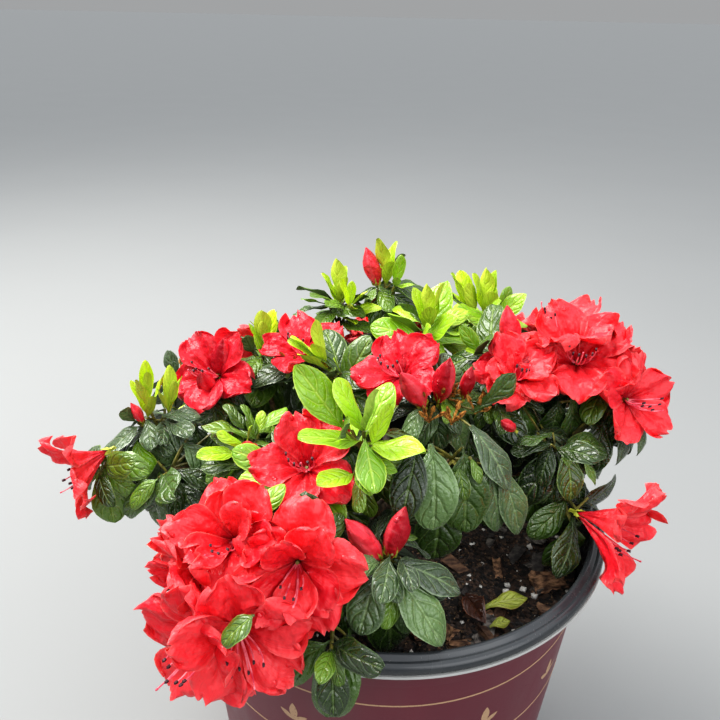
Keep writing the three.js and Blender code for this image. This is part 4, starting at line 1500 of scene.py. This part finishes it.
class Room:
    """What already stands, in millimetres, so that nothing new grows through it."""

    def __init__(self) -> None:
        """Starts with nothing standing."""
        self.boxes = np.zeros((0, 6))
        self.spare: list[Array] = []
        self.bodies: list[BVHTree] = []
        self.faces: list[tuple[Array, Array, float, float]] = []

    def keep_free(self, root: Array, axis: Array, reach: float, radius: float) -> None:
        """Keeps the space before a blossom's throat free, a cone that widens outwards to a radius."""
        self.faces.append((root, axis, reach, radius))

    def in_a_face(self, points: Array) -> bool:
        """Tests for what would hide a blossom's throat.

        Args:
            points: The points of a new body.

        Returns:
            Whether any of them lies before a throat.
        """
        for root, axis, reach, radius in self.faces:
            along = (points - root) @ axis
            away = np.linalg.norm(points - root - along[:, None] * axis, axis=1)
            if np.any((along > 0) & (along < reach) & (away < radius * along / reach)):
                return True
        return False

    def stand(self, body: BVHTree, points: Array) -> None:
        """Adds a body with the box of its points."""
        self.spare.append(np.concatenate([points.min(0), points.max(0)]))
        self.bodies.append(body)

    def clear(self, body: BVHTree, points: Array) -> bool:
        """Tests whether there is room.

        Args:
            body: A new body's search tree.
            points: Its points.

        Returns:
            Whether it crosses nothing that stands, and hides no blossom's throat.
        """
        if self.in_a_face(points):
            return False
        if self.spare:
            self.boxes = np.vstack([self.boxes, self.spare])
            self.spare = []
        low, high = points.min(0), points.max(0)
        near = np.all((self.boxes[:, :3] < high) & (self.boxes[:, 3:] > low), axis=1)
        return not any(self.bodies[i].overlap(body) for i in np.flatnonzero(near))


def cad_body(node: str) -> tuple[BVHTree, Array]:
    """Reads a CAD node's solid.

    Args:
        node: The node's name.

    Returns:
        Its search tree and its points, in millimetres.
    """
    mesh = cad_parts[node].data
    points = np.array([vert.co for vert in mesh.vertices]) / MM
    return BVHTree.FromPolygons(points.tolist(), [list(face.vertices) for face in mesh.polygons]), points


@dataclass
class Limbs:
    """The trunk and its boughs, with the relief of their bark."""

    foot: float = 212.3
    height: float = 42
    flare_radius: float = 15
    radius: float = 8.5
    top_radius: float = 6.5
    flare_height: float = 5
    lean: Pair = (3, 4)
    bow_at: float = 0.45
    bow: float = 5
    steep_bow: float = -4
    steep_within: float = 50
    knuckle: float = 1.4

    def trunk_point(self, height: float) -> Array:
        """Returns the trunk's middle at a height above the soil."""
        share = height / self.height
        return np.array([self.lean[0] * share, self.lean[1] * share, self.foot + height])

    def curve(self, plan: BoughPlan) -> Bend:
        """Sets out a bough's line.

        Args:
            plan: The bough's plan.

        Returns:
            The line.
        """
        start, end = self.trunk_point(plan.leaves), np.array(plan.tip, float)
        steep = math.hypot(*(end - start)[:2]) < self.steep_within
        rise = self.steep_bow if steep else self.bow
        return Bend(start, start + (end - start) * self.bow_at + UP * rise, end)

    def build(self) -> None:
        """Makes the trunk and the boughs as one mesh with bark relief."""
        wood = Swarm()
        trunk = Form.tube(26, 30)
        share = trunk.points[:, 2]
        flare = (self.flare_radius - self.radius) * np.exp(-share * self.height / self.flare_height)
        radius = mix((self.radius, self.top_radius), share) + flare
        radius *= 1 - 0.45 * np.clip((share - 0.93) / 0.07, 0, 1) ** 2
        line = straight(self.trunk_point(0), self.trunk_point(self.height))
        wood.add(trunk, self.barked(line, trunk, radius, 0.7), node="trunk")
        bough = Form.tube(12, 34)
        for name, plan in BOUGHS.items():
            share = bough.points[:, 2]
            radius = mix(plan.radii, share) * (1 + (self.knuckle - 1) * np.clip((share - 0.93) / 0.05, 0, 1))
            radius *= 1 - 0.5 * np.clip((share - 0.985) / 0.015, 0, 1)
            wood.add(bough, self.barked(self.curve(plan), bough, radius, 0.3), node=f"bough_{name}")
        wood.piece("trunk_and_boughs", OLD_WOOD, "bark", 70)

    @staticmethod
    def barked(line: Bend, form: Form, radius: Array, relief: float) -> Array:
        """Lays a bar along a line and roughens it like bark.

        Args:
            line: The line.
            form: The bar's form.
            radius: Its radius at each point.
            relief: The depth of the bark.

        Returns:
            The bar's points.
        """
        share = form.points[:, 2]
        tangent = line.tangent(share)
        side = unit(np.cross(tangent, np.array([0.31, 0.77, 0.56])))
        other = np.cross(tangent, side)
        way = side * form.points[:, :1] + other * form.points[:, 1:2]
        smooth = line.point(share) + way * radius[:, None]
        rough = np.array([wrinkle(p * np.array([1, 1, 0.45]), 3.4) + 0.5 * wrinkle(p, 1.7) for p in smooth])
        return smooth + way * (relief * rough)[:, None]


@dataclass
class Shoot:
    """One shoot of a mass: what it carries, its twig, and how its flower is turned."""

    kind: Kind
    direction: Array
    fork: Array
    tip: Array
    size: float = 1.0
    turn: float = 0.0


class Mass:
    """One mass of foliage, grown from its bough by the source's rule."""

    STEM_PITCH, FIRST_STEM, STEM_SAG, FORK_PITCH = 8, 0.3, 0.06, 0.07
    BUD_RISE = 1.3

    def __init__(self, index: int, name: str, plan: MassPlan, limbs: Limbs) -> None:
        """Sets out the stem and the shoots.

        Args:
            index: The mass's place in the list, which gives its seed.
            name: Its name.
            plan: Its plan.
            limbs: The limbs that it grows from.
        """
        self.node = f"foliage_{name}"
        self.name, self.plan = name, plan
        self.draws = Draws(SEED_FIRST + SEED_PITCH * index)
        self.finer = Draws(SEED_FINER + SEED_PITCH * index)
        rank = [other for other, row in MASSES.items() if row.bough == plan.bough].index(name)
        start = limbs.curve(BOUGHS[plan.bough]).before_end((rank + self.FIRST_STEM) * self.STEM_PITCH)
        heart = np.array(plan.heart, float)
        sag = UP * -self.STEM_SAG * np.linalg.norm(heart - start)
        self.stem = Bend(start, (start + heart) / 2 + sag, heart)
        self.facing = unit(np.array(plan.facing, float))
        self.low, self.high = (np.array(corner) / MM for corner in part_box(self.node))
        self.shoots = []
        count = len(plan.shoots)
        for k, kind in enumerate(plan.shoots):
            share = k / (count - 1) if count > 1 else 0
            lean = math.radians(plan.spread) * math.sqrt(share)
            direction = leaning(self.facing, lean, math.radians(plan.turn) + k * GOLDEN_TURN)
            reach = RULES[kind].twig * self.draws.between(*TWIG_VARIES)
            fork = self.stem.point(1 - self.FORK_PITCH * (k + 0.5))
            tip, size = heart + direction * reach, 1.0
            if kind is BUD:
                direction = unit(direction + UP * self.BUD_RISE)
            if (name, k) in SEEN_SHOOTS:
                seen = SEEN_SHOOTS[name, k]
                tip, direction, size = np.array(seen.tip, float), unit(np.array(seen.way, float)), seen.size
            self.shoots.append(Shoot(kind, direction, fork, tip, size))
        for shoot in self.shoots:
            shoot.size *= self.draws.between(*FLOWER_VARIES)
            shoot.turn = self.draws.between(0, TAU)

    def holds(self, point: Array, spare: float) -> bool:
        """Returns whether a point lies in the box of the mass's own solid, with some room to spare."""
        return bool(np.all(point > self.low - spare) and np.all(point < self.high + spare))


@dataclass(frozen=True)
class LeafPlace:
    """Where one leaf grows: its root, its direction, what its upper side faces, and its size."""

    root: Array
    direction: Array
    upper: Array
    length: float
    width: float


def leaves_round(draws: Draws, tip: Array, axis: Array, rule: LeafRule) -> list[LeafPlace]:
    """Sets leaves round a twig's tip by the golden turn, youngest first.

    Args:
        draws: The row of draws.
        tip: The twig's tip.
        axis: Its direction.
        rule: How its leaves are set.

    Returns:
        The leaves' places.
    """
    phase = draws.between(0, TAU)
    places = []
    for k in range(rule.count):
        share = k / (rule.count - 1) if rule.count > 1 else 0
        tilt = math.radians(mix(rule.tilt, share)) + draws.between(-TILT_VARIES, TILT_VARIES)
        direction = leaning(axis, tilt, phase + k * GOLDEN_TURN)
        direction = unit(direction - UP * rule.droop * share)
        length = mix(rule.length, share) * draws.between(*LEAF_VARIES)
        root = tip - axis * (LEAF_BELOW_TIP + rule.pitch * k)
        places.append(LeafPlace(root, direction, axis, length, length * rule.width))
    return places


def leaves_along(draws: Draws, mass: Mass, rule: LeafRule) -> list[LeafPlace]:
    """Sets leaves along a mass's stem by the golden turn.

    Args:
        draws: The row of draws.
        mass: The mass.
        rule: How the leaves are set.

    Returns:
        The leaves' places.
    """
    phase = draws.between(0, TAU)
    places = []
    for k in range(rule.count):
        share = k / (rule.count - 1)
        along, tilt = mix(rule.stretch, share), math.radians(mix(rule.tilt, share))
        direction = leaning(mass.stem.tangent(along), tilt, phase + k * GOLDEN_TURN)
        direction = unit(direction - UP * rule.droop)
        length = mix(rule.length, share) * draws.between(*LEAF_VARIES)
        places.append(LeafPlace(mass.stem.point(along), direction, mass.facing, length, length * rule.width))
    return places


@dataclass(frozen=True)
class BlossomForm:
    """How a blossom opens: a funnel of five lobes, single or with a second whorl inside."""

    radius: float = 33
    depth: float = 15
    throat: float = 0.035
    curl: float = 0.42
    hinge: float = 0.42
    inner_spread: float = 0.7
    inner_rise: float = 0.6
    ruffle: float = 3.3
    half_angle: float = 39
    sunk: float = 4
    thickness: float = 0.5

    def middle(self, u: Array, v: Array, centre: float, mood: Array, scale: float) -> Array:
        """Sets out a petal's middle surface in (height, cos, sin) of the flower.

        Args:
            u: Shares from the throat to the tip.
            v: Shares across, from -1 to 1.
            centre: The petal's turn about the flower's axis, in radians.
            mood: Four numbers from 0 to 1 that make it differ from its neighbours.
            scale: Its size next to an outer petal.

        Returns:
            The points, in millimetres.
        """
        u = np.clip(u, 0, None)
        reach = u * (1 - 0.1 * v**2 * u**2 - 0.03 * np.exp(-(v / 0.22) ** 2) * u**4)
        late = np.clip((u - 0.5) / 0.5, 0, 1)
        spread = np.where(u < 0.5, 1 + 0.24 * u, 1.12 * np.sqrt(np.clip(1 - 0.9 * late**2.4, 0, None)))
        wide = self.half_angle * (1 + self.inner_spread * (1 - scale))
        turn = centre + v * math.radians(wide) * spread
        turn += 0.1 * (mood[3] - 0.5) * u
        rho = self.radius * scale * (self.throat + (1 - self.throat) * reach**1.12)
        height = self.depth * (1.3 - 0.3 * scale) * (1 - (1 - np.clip(reach, 0, 1)) ** 1.9)
        height -= self.curl * (mood[0] + 0.2) * self.radius * np.clip(reach - 0.55, 0, 1) ** 1.6
        rise = (1 - scale) * self.inner_rise + self.hinge * (mood[3] - 0.5)
        height += rise * self.radius * reach**1.3
        margin = (0.22 + 0.78 * np.abs(v) ** 1.4) * u**1.8
        tip = np.clip((u - 0.7) / 0.3, 0, 1) ** 1.5
        waves = np.sin(TAU * (0.7 * v + 0.6 * u + mood[1]))
        waves += 0.5 * np.sin(TAU * (1.6 * v - 0.9 * u + mood[2]))
        height += self.ruffle * (0.35 + 0.65 * scale) * (margin + 0.5 * tip) * waves
        frill = np.sin(TAU * (2.7 * v + mood[3])) * np.clip((u - 0.55) / 0.45, 0, 1) ** 2
        height += 0.9 * frill
        rho = rho + 0.7 * tip * np.sin(TAU * (1.3 * v + mood[2])) + 0.5 * frill
        folds = 1.4 * np.exp(-(v / 0.2) ** 2) + 0.8 * np.cos(TAU * (1.35 * v + 0.15 * mood[0]))
        folds += 0.7 * np.sin(TAU * (1.9 * u + 0.9 * v + mood[2]))
        folds += 0.5 * np.sin(TAU * (2.9 * u - 1.2 * v + mood[1])) * np.sin(TAU * (2.1 * v + mood[3]))
        height -= folds * np.sin(math.pi * np.clip(u, 0, 1) ** 0.8)
        return np.stack([height, rho * np.cos(turn), rho * np.sin(turn)], axis=-1)

    def petal(self, form: Form, centre: float, mood: Array, scale: float) -> Array:
        """Returns a sheet form's points shaped into one petal with its thickness."""
        return form.thickened(lambda u, v: self.middle(u, v, centre, mood, scale), self.thickness)


@dataclass
class Crown:
    """Everything that grows on the limbs: stems, twigs, leaves, blossoms and buds."""

    limbs: Limbs
    petals: int = 5
    calyx_scales: int = 5
    spent_in_group: int = 5
    bud_length: float = 34
    bud_width: float = 13.5
    stem_radii: Pair = (2.0, 1.8)
    twig_radii: Pair = (1.3, 1.0)
    double_blooms: tuple[str, ...] = (
        "front_bloom", "front_left_high", "centre_bloom", "back_low", "right_side")
    half_open_blooms: tuple[str, ...] = ("far_left_bloom", "right_low_bloom")
    # Blossoms given the deep red copy of the petal: painted shade, for they sit inside the crown.
    shaded_deep_blooms: tuple[str, ...] = ("back_inner_bloom", "left_bloom", "centre_buds")
    spent_masses: tuple[str, ...] = ("centre_buds", "centre_bloom", "back_inner_bloom", "left_side")
    leaf_tries: tuple[float, ...] = (0.0, -0.22, 0.22, -0.5, -0.85)
    stalk_gap: float = 3
    to_light: float = 0.7
    seen_steps: tuple[float, ...] = (0, 2.5, 5, 8, 11)
    face_depth: float = 8

    def __post_init__(self) -> None:
        """Sets out the masses, the repeated forms and the empty swarms."""
        self.masses = [Mass(i, name, plan, self.limbs) for i, (name, plan) in enumerate(MASSES.items())]
        self.blade, self.proxy, self.scale_form = Form.sheet(10, 4), Form.sheet(4, 2, 0.08), Form.sheet(3, 2)
        self.petal_form = Form.sheet(12, 18)
        self.bar, self.thin_bar = Form.tube(8, 10), Form.tube(5, 9)
        self.bud_bar = Form.tube(20, 16)
        self.bead = Form.crumb(7, (1.0, 0.5, 0.5))
        self.leaves = {tone: Swarm() for tone in Tone}
        self.twigs, self.young, self.coral, self.crimson, self.bud_red = (Swarm() for _ in range(5))
        self.filaments, self.anthers, self.scales, self.spent = (Swarm() for _ in range(4))
        self.room = Room()
        for node in ("pot", "soil", "trunk", *[f"bough_{name}" for name in BOUGHS]):
            self.room.stand(*cad_body(node))
        self.open_form = BlossomForm()
        self.half_open_form = BlossomForm(radius=28, depth=26, curl=0.85, half_angle=34, inner_spread=0)

    def rod(self, swarm: Swarm, form: Form, line: Bend, radii: Pair, node: str,
            relief: float = 0.12) -> Array:
        """Adds a round bar along a line.

        Args:
            swarm: Where it is gathered.
            form: Its form.
            line: The line.
            radii: Its radii at its two ends.
            node: The CAD node that it helps to stand for.
            relief: The depth of its bark.

        Returns:
            Its points.
        """
        radius = mix(radii, form.points[:, 2])
        points = Limbs.barked(line, form, radius, relief)
        swarm.add(form, points, self.masses[0].finer.next(), node)
        return points

    def grow_twigs(self, mass: Mass) -> None:
        """Makes a mass's stem, and a twig for each shoot.

        Args:
            mass: The mass.
        """
        self.rod(self.twigs, self.bar, mass.stem, self.stem_radii, mass.node, 0.25)
        for shoot in mass.shoots:
            bow = (shoot.fork + shoot.tip) / 2 - UP * 0.6
            self.rod(self.young, self.thin_bar, Bend(shoot.fork, bow, shoot.tip), self.twig_radii, mass.node)

    def grow_blossom(self, mass: Mass, shoot: Shoot) -> None:
        """Makes one open blossom with its stamens, style and calyx.

        Args:
            mass: Its mass.
            shoot: Its shoot.
        """
        finer = mass.finer
        flower = self.half_open_form if mass.name in self.half_open_blooms else self.open_form
        root = shoot.tip - shoot.direction * flower.sunk
        along, across, upper = axes_along(shoot.direction, UP)
        axes = np.array([along, -upper, across])
        doubled = mass.name in self.double_blooms
        # Blossoms inside the crown take the darker petal copy, as painted shade.
        swarm = self.crimson if mass.name in self.shaded_deep_blooms else self.coral
        whorls = [(1.0, math.radians(18), self.petals)]
        if doubled:
            whorls += [(0.8, math.radians(52), self.petals - 1), (0.56, math.radians(10), 2)]
        for scale, start, count in whorls:
            for k in range(count):
                centre = shoot.turn + start + k * TAU / count + finer.between(-0.15, 0.15)
                mood = np.array([finer.next() for _ in range(4)])
                local = flower.petal(self.petal_form, centre, mood, scale * finer.between(0.9, 1.04))
                points = root + local * shoot.size @ axes
                swarm.add(self.petal_form, points, finer.between(0, 1), mass.node)
                self.room.stand(self.petal_form.bodies(points), points)
        reach = (flower.depth + self.face_depth) * shoot.size
        self.room.keep_free(root, shoot.direction, reach, flower.radius * shoot.size)
        self.grow_stamens(mass, shoot, root, axes, 4 if doubled else 6)
        lean = 0.75 if flower is self.half_open_form else 1.15
        self.grow_calyx(mass, root - shoot.direction * 1.5, shoot.direction, 6.5, self.scales, lean)

    def grow_stamens(self, mass: Mass, shoot: Shoot, root: Array, axes: Array, count: int) -> None:
        """Makes the curved filaments with their dark anthers, and the longer style.

        Args:
            mass: Their mass.
            shoot: The blossom's shoot.
            root: Where they meet.
            axes: Rows along the blossom's axis and across it.
            count: How many filaments.
        """
        finer = mass.finer
        down = math.atan2(axes[2][2], axes[1][2]) + math.pi
        for k in range(count + 1):
            style = k == count
            turn = down + (finer.between(-0.35, 0.35) if style else (k - (count - 1) / 2) * 0.5)
            reach = 31 if style else finer.between(20, 27)
            spread = 0.42 * reach
            way = np.array([0.0, math.cos(turn), math.sin(turn)])
            start = np.array([3.0, 0, 0]) + way * 1.2
            pull = np.array([0.55 * reach, 0, 0]) + way * spread * 0.9
            end = np.array([reach, 0, 0]) + way * spread * 0.75
            line = Bend(*(root + point * shoot.size @ axes for point in (start, pull, end)))
            points = self.rod(self.filaments, self.thin_bar, line, (0.5, 0.36), mass.node, 0)
            self.room.stand(self.thin_bar.bodies(points), points)
            bead = self.bead.points @ axes_along(line.tangent(1.0), UP) * (1.7 if style else 2.6)
            (self.filaments if style else self.anthers).add(self.bead, line.end + bead, 0.5, mass.node)

    def grow_calyx(self, mass: Mass, root: Array, axis: Array, length: float, swarm: Swarm,
                   lean: float = 0.35, knob: float = 4) -> None:
        """Makes the small scales that hold a blossom or bud.

        Args:
            mass: Their mass.
            root: Where they meet.
            axis: The axis that they stand round.
            length: Their length.
            swarm: Where they are gathered.
            lean: How far they lean from the axis, in radians.
            knob: The size of the knob beneath them.
        """
        scale = LeafForm(0.4, 0.8, 0.02, fold=0.3, roll=0.5, bend=-0.2, thickness=0.4)
        for k in range(self.calyx_scales):
            out = leaning(axis, lean, k * TAU / self.calyx_scales + 0.3)
            axes = axes_along(out, axis)
            points = root - axis * 1.5 + scale.points(self.scale_form, length, length * 0.42) @ axes
            swarm.add(self.scale_form, points, mass.finer.next(), mass.node)
        bead = self.bead.points @ axes_along(axis, UP) * knob
        swarm.add(self.bead, root - axis * knob * 0.65 + bead, 0.5, mass.node)

    def grow_bud(self, mass: Mass, shoot: Shoot) -> None:
        """Makes one closed bud, its petals lapped in a spiral, with the scales at its foot.

        Args:
            mass: Its mass.
            shoot: Its shoot.
        """
        form, axis = self.bud_bar, shoot.direction
        root = shoot.tip - axis * 3
        share = form.points[:, 2]
        angle = np.arctan2(form.points[:, 1], form.points[:, 0])
        lap = ((3 * angle / TAU + 1.2 * share + shoot.turn) % 1.0) * 0.24
        body = np.sin(math.pi * np.clip(share, 0.02, 0.985) ** 0.98) ** 0.82
        radius = self.bud_width / 2 * body * (0.86 + lap) * shoot.size
        along, across, upper = axes_along(axis, UP)
        way = across * form.points[:, :1] + upper * form.points[:, 1:2]
        droop = upper * (-1.2 * share**2)[:, None]
        length = self.bud_length * shoot.size
        points = root + along * (share * length)[:, None] + way * radius[:, None] + droop
        self.bud_red.add(form, points, mass.finer.next(), mass.node)
        self.room.stand(form.bodies(points), points)
        self.grow_calyx(mass, root + axis * 1.5, axis, 12 * shoot.size, self.scales, 0.6)

    def grow_spent(self, mass: Mass, shoot: Shoot) -> None:
        """Makes the brown calyces left on a shoot whose blossoms have dropped.

        Args:
            mass: Their mass.
            shoot: The shoot.
        """
        finer = mass.finer
        for k in range(self.spent_in_group):
            way = leaning(shoot.direction, finer.between(0.2, 0.9), k * GOLDEN_TURN)
            way = unit(way + UP * 0.3)
            end = shoot.tip + way * finer.between(5, 11)
            self.rod(self.spent, self.thin_bar, straight(shoot.tip - way, end), (0.5, 0.8), mass.node, 0.1)
            self.grow_calyx(mass, end + way * 1.5, way, 6, self.spent, 0.22, 2.2)

    def grow_leaf(
        self, mass: Mass, place: LeafPlace, tone: Tone, spare: float | None = None, placed: bool = False,
    ) -> bool:
        """Makes one leaf where there is room for it, lifting it a little if that finds room.

        Args:
            mass: Its mass.
            place: Where it grows.
            tone: Its colour.
            spare: How far outside its mass's solid it may reach, if that is tested.
            placed: Whether its direction is already as the photograph shows it, so that it hangs no further.

        Returns:
            Whether it grew.
        """
        forms = LEAF_FORMS[tone]
        form = forms[int(mass.finer.next() * len(forms)) % len(forms)]
        tint = mass.finer.next()
        young = tone in (LIME, FRESH)
        hang = 0 if placed or young else mass.plan.hang
        to_light = self.to_light if young or not placed else 0
        for lift in self.leaf_tries:
            direction = unit(place.direction + place.upper * lift - UP * hang)
            tip = place.root + direction * place.length
            if spare is not None and not mass.holds(tip, spare):
                continue
            axes = axes_along(direction, place.upper + UP * to_light)
            shrunk = form.points(self.proxy, place.length * 0.98, place.width * 0.88) @ axes + place.root
            body = self.proxy.bodies(shrunk)
            if self.room.clear(body, shrunk):
                points = form.points(self.blade, place.length, place.width) @ axes + place.root
                self.leaves[tone].add(self.blade, points, tint, mass.node)
                self.room.stand(body, shrunk)
                return True
        return False

    def grow_stalk(self, mass: Mass, end: Array, radii: Pair) -> None:
        """Makes a young twig that arches from the end of a mass's stem to a place."""
        line = Bend(mass.stem.end, (mass.stem.end + end) / 2 + UP * 1.5, end)
        self.rod(self.young, self.thin_bar, line, radii, mass.node)

    def grow_seen(self) -> None:
        """Makes the small buds, spent calyces and leaves that stand out in the photograph."""
        masses = {mass.name: mass for mass in self.masses}
        for name, kind, tip, way, *size in SEEN_TWIGS:
            mass, end = masses[name], np.array(tip, float)
            self.grow_stalk(mass, end, self.twig_radii)
            shoot = Shoot(kind, unit(np.array(way, float)), mass.stem.end, end, *size)
            (self.grow_bud if kind is BUD else self.grow_spent)(mass, shoot)
        for seen in SEEN_LEAVES:
            mass = masses[seen.mass]
            root, tip = np.array(seen.root, float), np.array(seen.tip, float)
            length = float(np.linalg.norm(tip - root))
            direction = (tip - root) / length
            outward = unit(direction * (1, 1, 0) + mass.facing * (1, 1, 0) * 0.5)
            place = LeafPlace(root, direction, unit(outward + UP * 0.8), length * 1.06, length * seen.width)
            for step in self.seen_steps:
                place = replace(place, root=root + place.upper * step)
                if self.grow_leaf(mass, place, seen.tone, placed=True):
                    if np.linalg.norm(place.root - mass.stem.end) > self.stalk_gap:
                        self.grow_stalk(mass, place.root + direction, (1.0, 0.7))
                    break

    def tone_of(self, mass: Mass, shoot: Shoot, k: int) -> Tone:
        """Chooses a leaf's colour.

        Args:
            mass: Its mass.
            shoot: Its shoot.
            k: Its place, counted from the tip.

        Returns:
            The colour.
        """
        if shoot.kind is FLUSH:
            return LIME
        if shoot.kind is BROAD:
            return FRESH
        young = k == 0 and shoot.direction[2] > 0.6 and mass.plan.tone is DARK
        return MID if young else mass.plan.tone

    def grow_main_leaves(self, mass: Mass) -> None:
        """Makes the leaves that the source has too.

        Args:
            mass: Their mass.
        """
        for shoot in mass.shoots:
            places = leaves_round(mass.draws, shoot.tip, shoot.direction, RULES[shoot.kind])
            for k, place in enumerate(places):
                slim = replace(place, width=place.width * min(shoot.size, 1))
                self.grow_leaf(mass, slim, self.tone_of(mass, shoot, k))
        for place in leaves_along(mass.draws, mass, STEM_LEAVES):
            self.grow_leaf(mass, place, mass.plan.tone)

    def grow_finer(self, mass: Mass) -> None:
        """Makes the finer side twigs and the leaves that fill a mass, within the same reach.

        Args:
            mass: The mass.
        """
        finer = mass.finer
        for shoot in mass.shoots:
            if mass.name in self.spent_masses and shoot.kind is not BLOOM:
                self.grow_spent(mass, shoot)
            if shoot.kind in (LEAFY, BUD):
                bright = finer.next() < (0.1 if mass.plan.tone in (DARK, GREY) else 0.5)
                tone = FRESH if bright else MID
                for place in leaves_round(finer, shoot.tip, shoot.direction, HEART_LEAVES):
                    self.grow_leaf(mass, place, tone, 6)
            if shoot.kind is FLUSH:
                for place in leaves_round(finer, shoot.tip, shoot.direction, FLUSH_HEART_LEAVES):
                    slim = replace(place, width=place.width * min(shoot.size, 1))
                    self.grow_leaf(mass, slim, LIME, 8)
            for _ in range(2):
                lean, turn = finer.between(0.8, 1.3), finer.between(0, TAU)
                direction = leaning(shoot.direction, lean, turn)
                base = shoot.fork + (shoot.tip - shoot.fork) * finer.between(0.2, 0.6)
                tip = base + direction * SIDE_LEAVES.twig * finer.between(*TWIG_VARIES)
                grown = [
                    self.grow_leaf(mass, place, mass.plan.tone, 5)
                    for place in leaves_round(finer, tip, direction, SIDE_LEAVES)]
                if any(grown):
                    self.rod(self.young, self.thin_bar, straight(base, tip), (0.9, 0.7), mass.node)
        for place in leaves_along(finer, mass, LOWER_LEAVES):
            self.grow_leaf(mass, place, mass.plan.tone, 6)

    def build(self) -> None:
        """Grows every mass and makes the pieces, each kind apart."""
        for mass in self.masses:
            self.grow_twigs(mass)
        for mass in self.masses:
            for shoot in mass.shoots:
                if shoot.kind is BLOOM:
                    self.grow_blossom(mass, shoot)
                elif shoot.kind is BUD:
                    self.grow_bud(mass, shoot)
        self.grow_seen()
        for mass in self.masses:
            self.grow_main_leaves(mass)
        for mass in self.masses:
            self.grow_finer(mass)
        self.twigs.piece("stems", TWIG_BARK, "foliage")
        self.young.piece("young_twigs", YOUNG_TWIG, "foliage")
        for tone, swarm in self.leaves.items():
            swarm.piece(f"leaves_{tone.value}", LEAVES[tone], "foliage")
        self.coral.piece("coral_petals", CORAL, "foliage")
        self.crimson.piece("crimson_petals", CRIMSON_SHADE, "foliage")
        self.bud_red.piece("buds", BUD_RED, "foliage", 40)
        self.filaments.piece("filaments_and_styles", FILAMENT, "foliage")
        self.anthers.piece("anthers", ANTHER, "foliage")
        self.scales.piece("calyx_scales", SCALE, "foliage")
        self.spent.piece("spent_calyces", SPENT, "foliage")


@dataclass
class Studio:
    """The pale floor, the soft lights and the camera at the photograph's view. Distances are in metres."""

    lens: float = 36.13
    eye: Triple = (-0.021, -0.396, 0.5326)
    pitch: float = math.radians(25.91)
    roll: float = math.radians(1.22)
    horizon: tuple[float, ...] = (0.33, 0.335, 0.34, 1.0)
    zenith: tuple[float, ...] = (1.26, 1.3, 1.36, 1.0)

    def build_floor(self) -> None:
        """Makes the floor just under the pot."""
        shape = bmesh.new()
        bmesh.ops.create_grid(shape, x_segments=1, y_segments=1, size=60)
        bmesh.ops.translate(shape, verts=shape.verts[:], vec=(0, 0, -0.0004))
        mesh = mesh_from(shape, "floor")
        floor = placed("floor", mesh)
        mesh.materials.append(FLOOR.material())

    def build_light(self, name: str, place: Triple, size: float, power: float,
                    colour: Triple) -> None:
        """Makes a soft square light that looks at the plant.

        Args:
            name: Its name.
            place: Where it hangs.
            size: Its width.
            power: Its power, in watts.
            colour: Its colour.
        """
        data = bpy.data.lights.new(name, "AREA")
        data.shape, data.size, data.energy, data.color = "SQUARE", size, power, colour
        light = placed(name, data)
        light.location = place
        aim = Vector((0, 0, 0.25)) - Vector(place)
        light.rotation_euler = aim.to_track_quat("-Z", "Y").to_euler()

    def build_camera(self) -> None:
        """Sets the camera where the photograph was taken from."""
        p, r = self.pitch, self.roll
        right = Vector((math.cos(r), math.sin(r) * math.sin(p), math.sin(r) * math.cos(p)))
        over = Vector((-math.sin(r), math.cos(r) * math.sin(p), math.cos(r) * math.cos(p)))
        back = Vector((0, -math.cos(p), math.sin(p)))
        data = bpy.data.cameras.new("camera")
        data.lens, data.sensor_width, data.clip_start = self.lens, 36, 0.01
        camera = placed("camera", data)
        turn = Matrix((right, over, back)).transposed().to_4x4()
        camera.matrix_world = Matrix.Translation(self.eye) @ turn
        bpy.context.scene.camera = camera

    def build(self) -> None:
        """Makes the floor, the lights and the camera."""
        self.build_floor()
        world = bpy.data.worlds.new("soft_daylight")
        world.use_nodes = True
        tree = world.node_tree
        rise = add_node(tree, Node.PLACE_PARTS, add_node(tree, Node.SKY_WAY)).node.outputs["Z"]
        height = add_node(tree, Node.RAMP, rise, 0.0, 0.8)
        shade = add_node(tree, Node.BLEND, height, self.horizon, self.zenith)
        tree.links.new(shade, tree.nodes["Background"].inputs["Color"])
        bpy.context.scene.world = world
        self.build_light("key_light", (-0.9, 0.5, 1.7), 1.3, 56, (1.0, 0.98, 0.95))
        self.build_light("fill_light", (1.1, -1.3, 1.3), 1.6, 15, (0.96, 0.98, 1.0))
        bpy.context.scene.view_settings.view_transform = "Standard"
        bpy.context.scene.view_settings.look = "Medium High Contrast"
        self.build_camera()


def main() -> None:
    """Builds the whole potted plant and its studio."""
    logging.basicConfig(level=logging.INFO, format="%(name)s: %(message)s")
    noise.seed_set(SEED_CRUMBS)
    limbs = Limbs()
    Pot().build()
    RootBall().build()
    limbs.build()
    Crown(limbs).build()
    Studio().build()


if __name__ == "__main__":
    main()
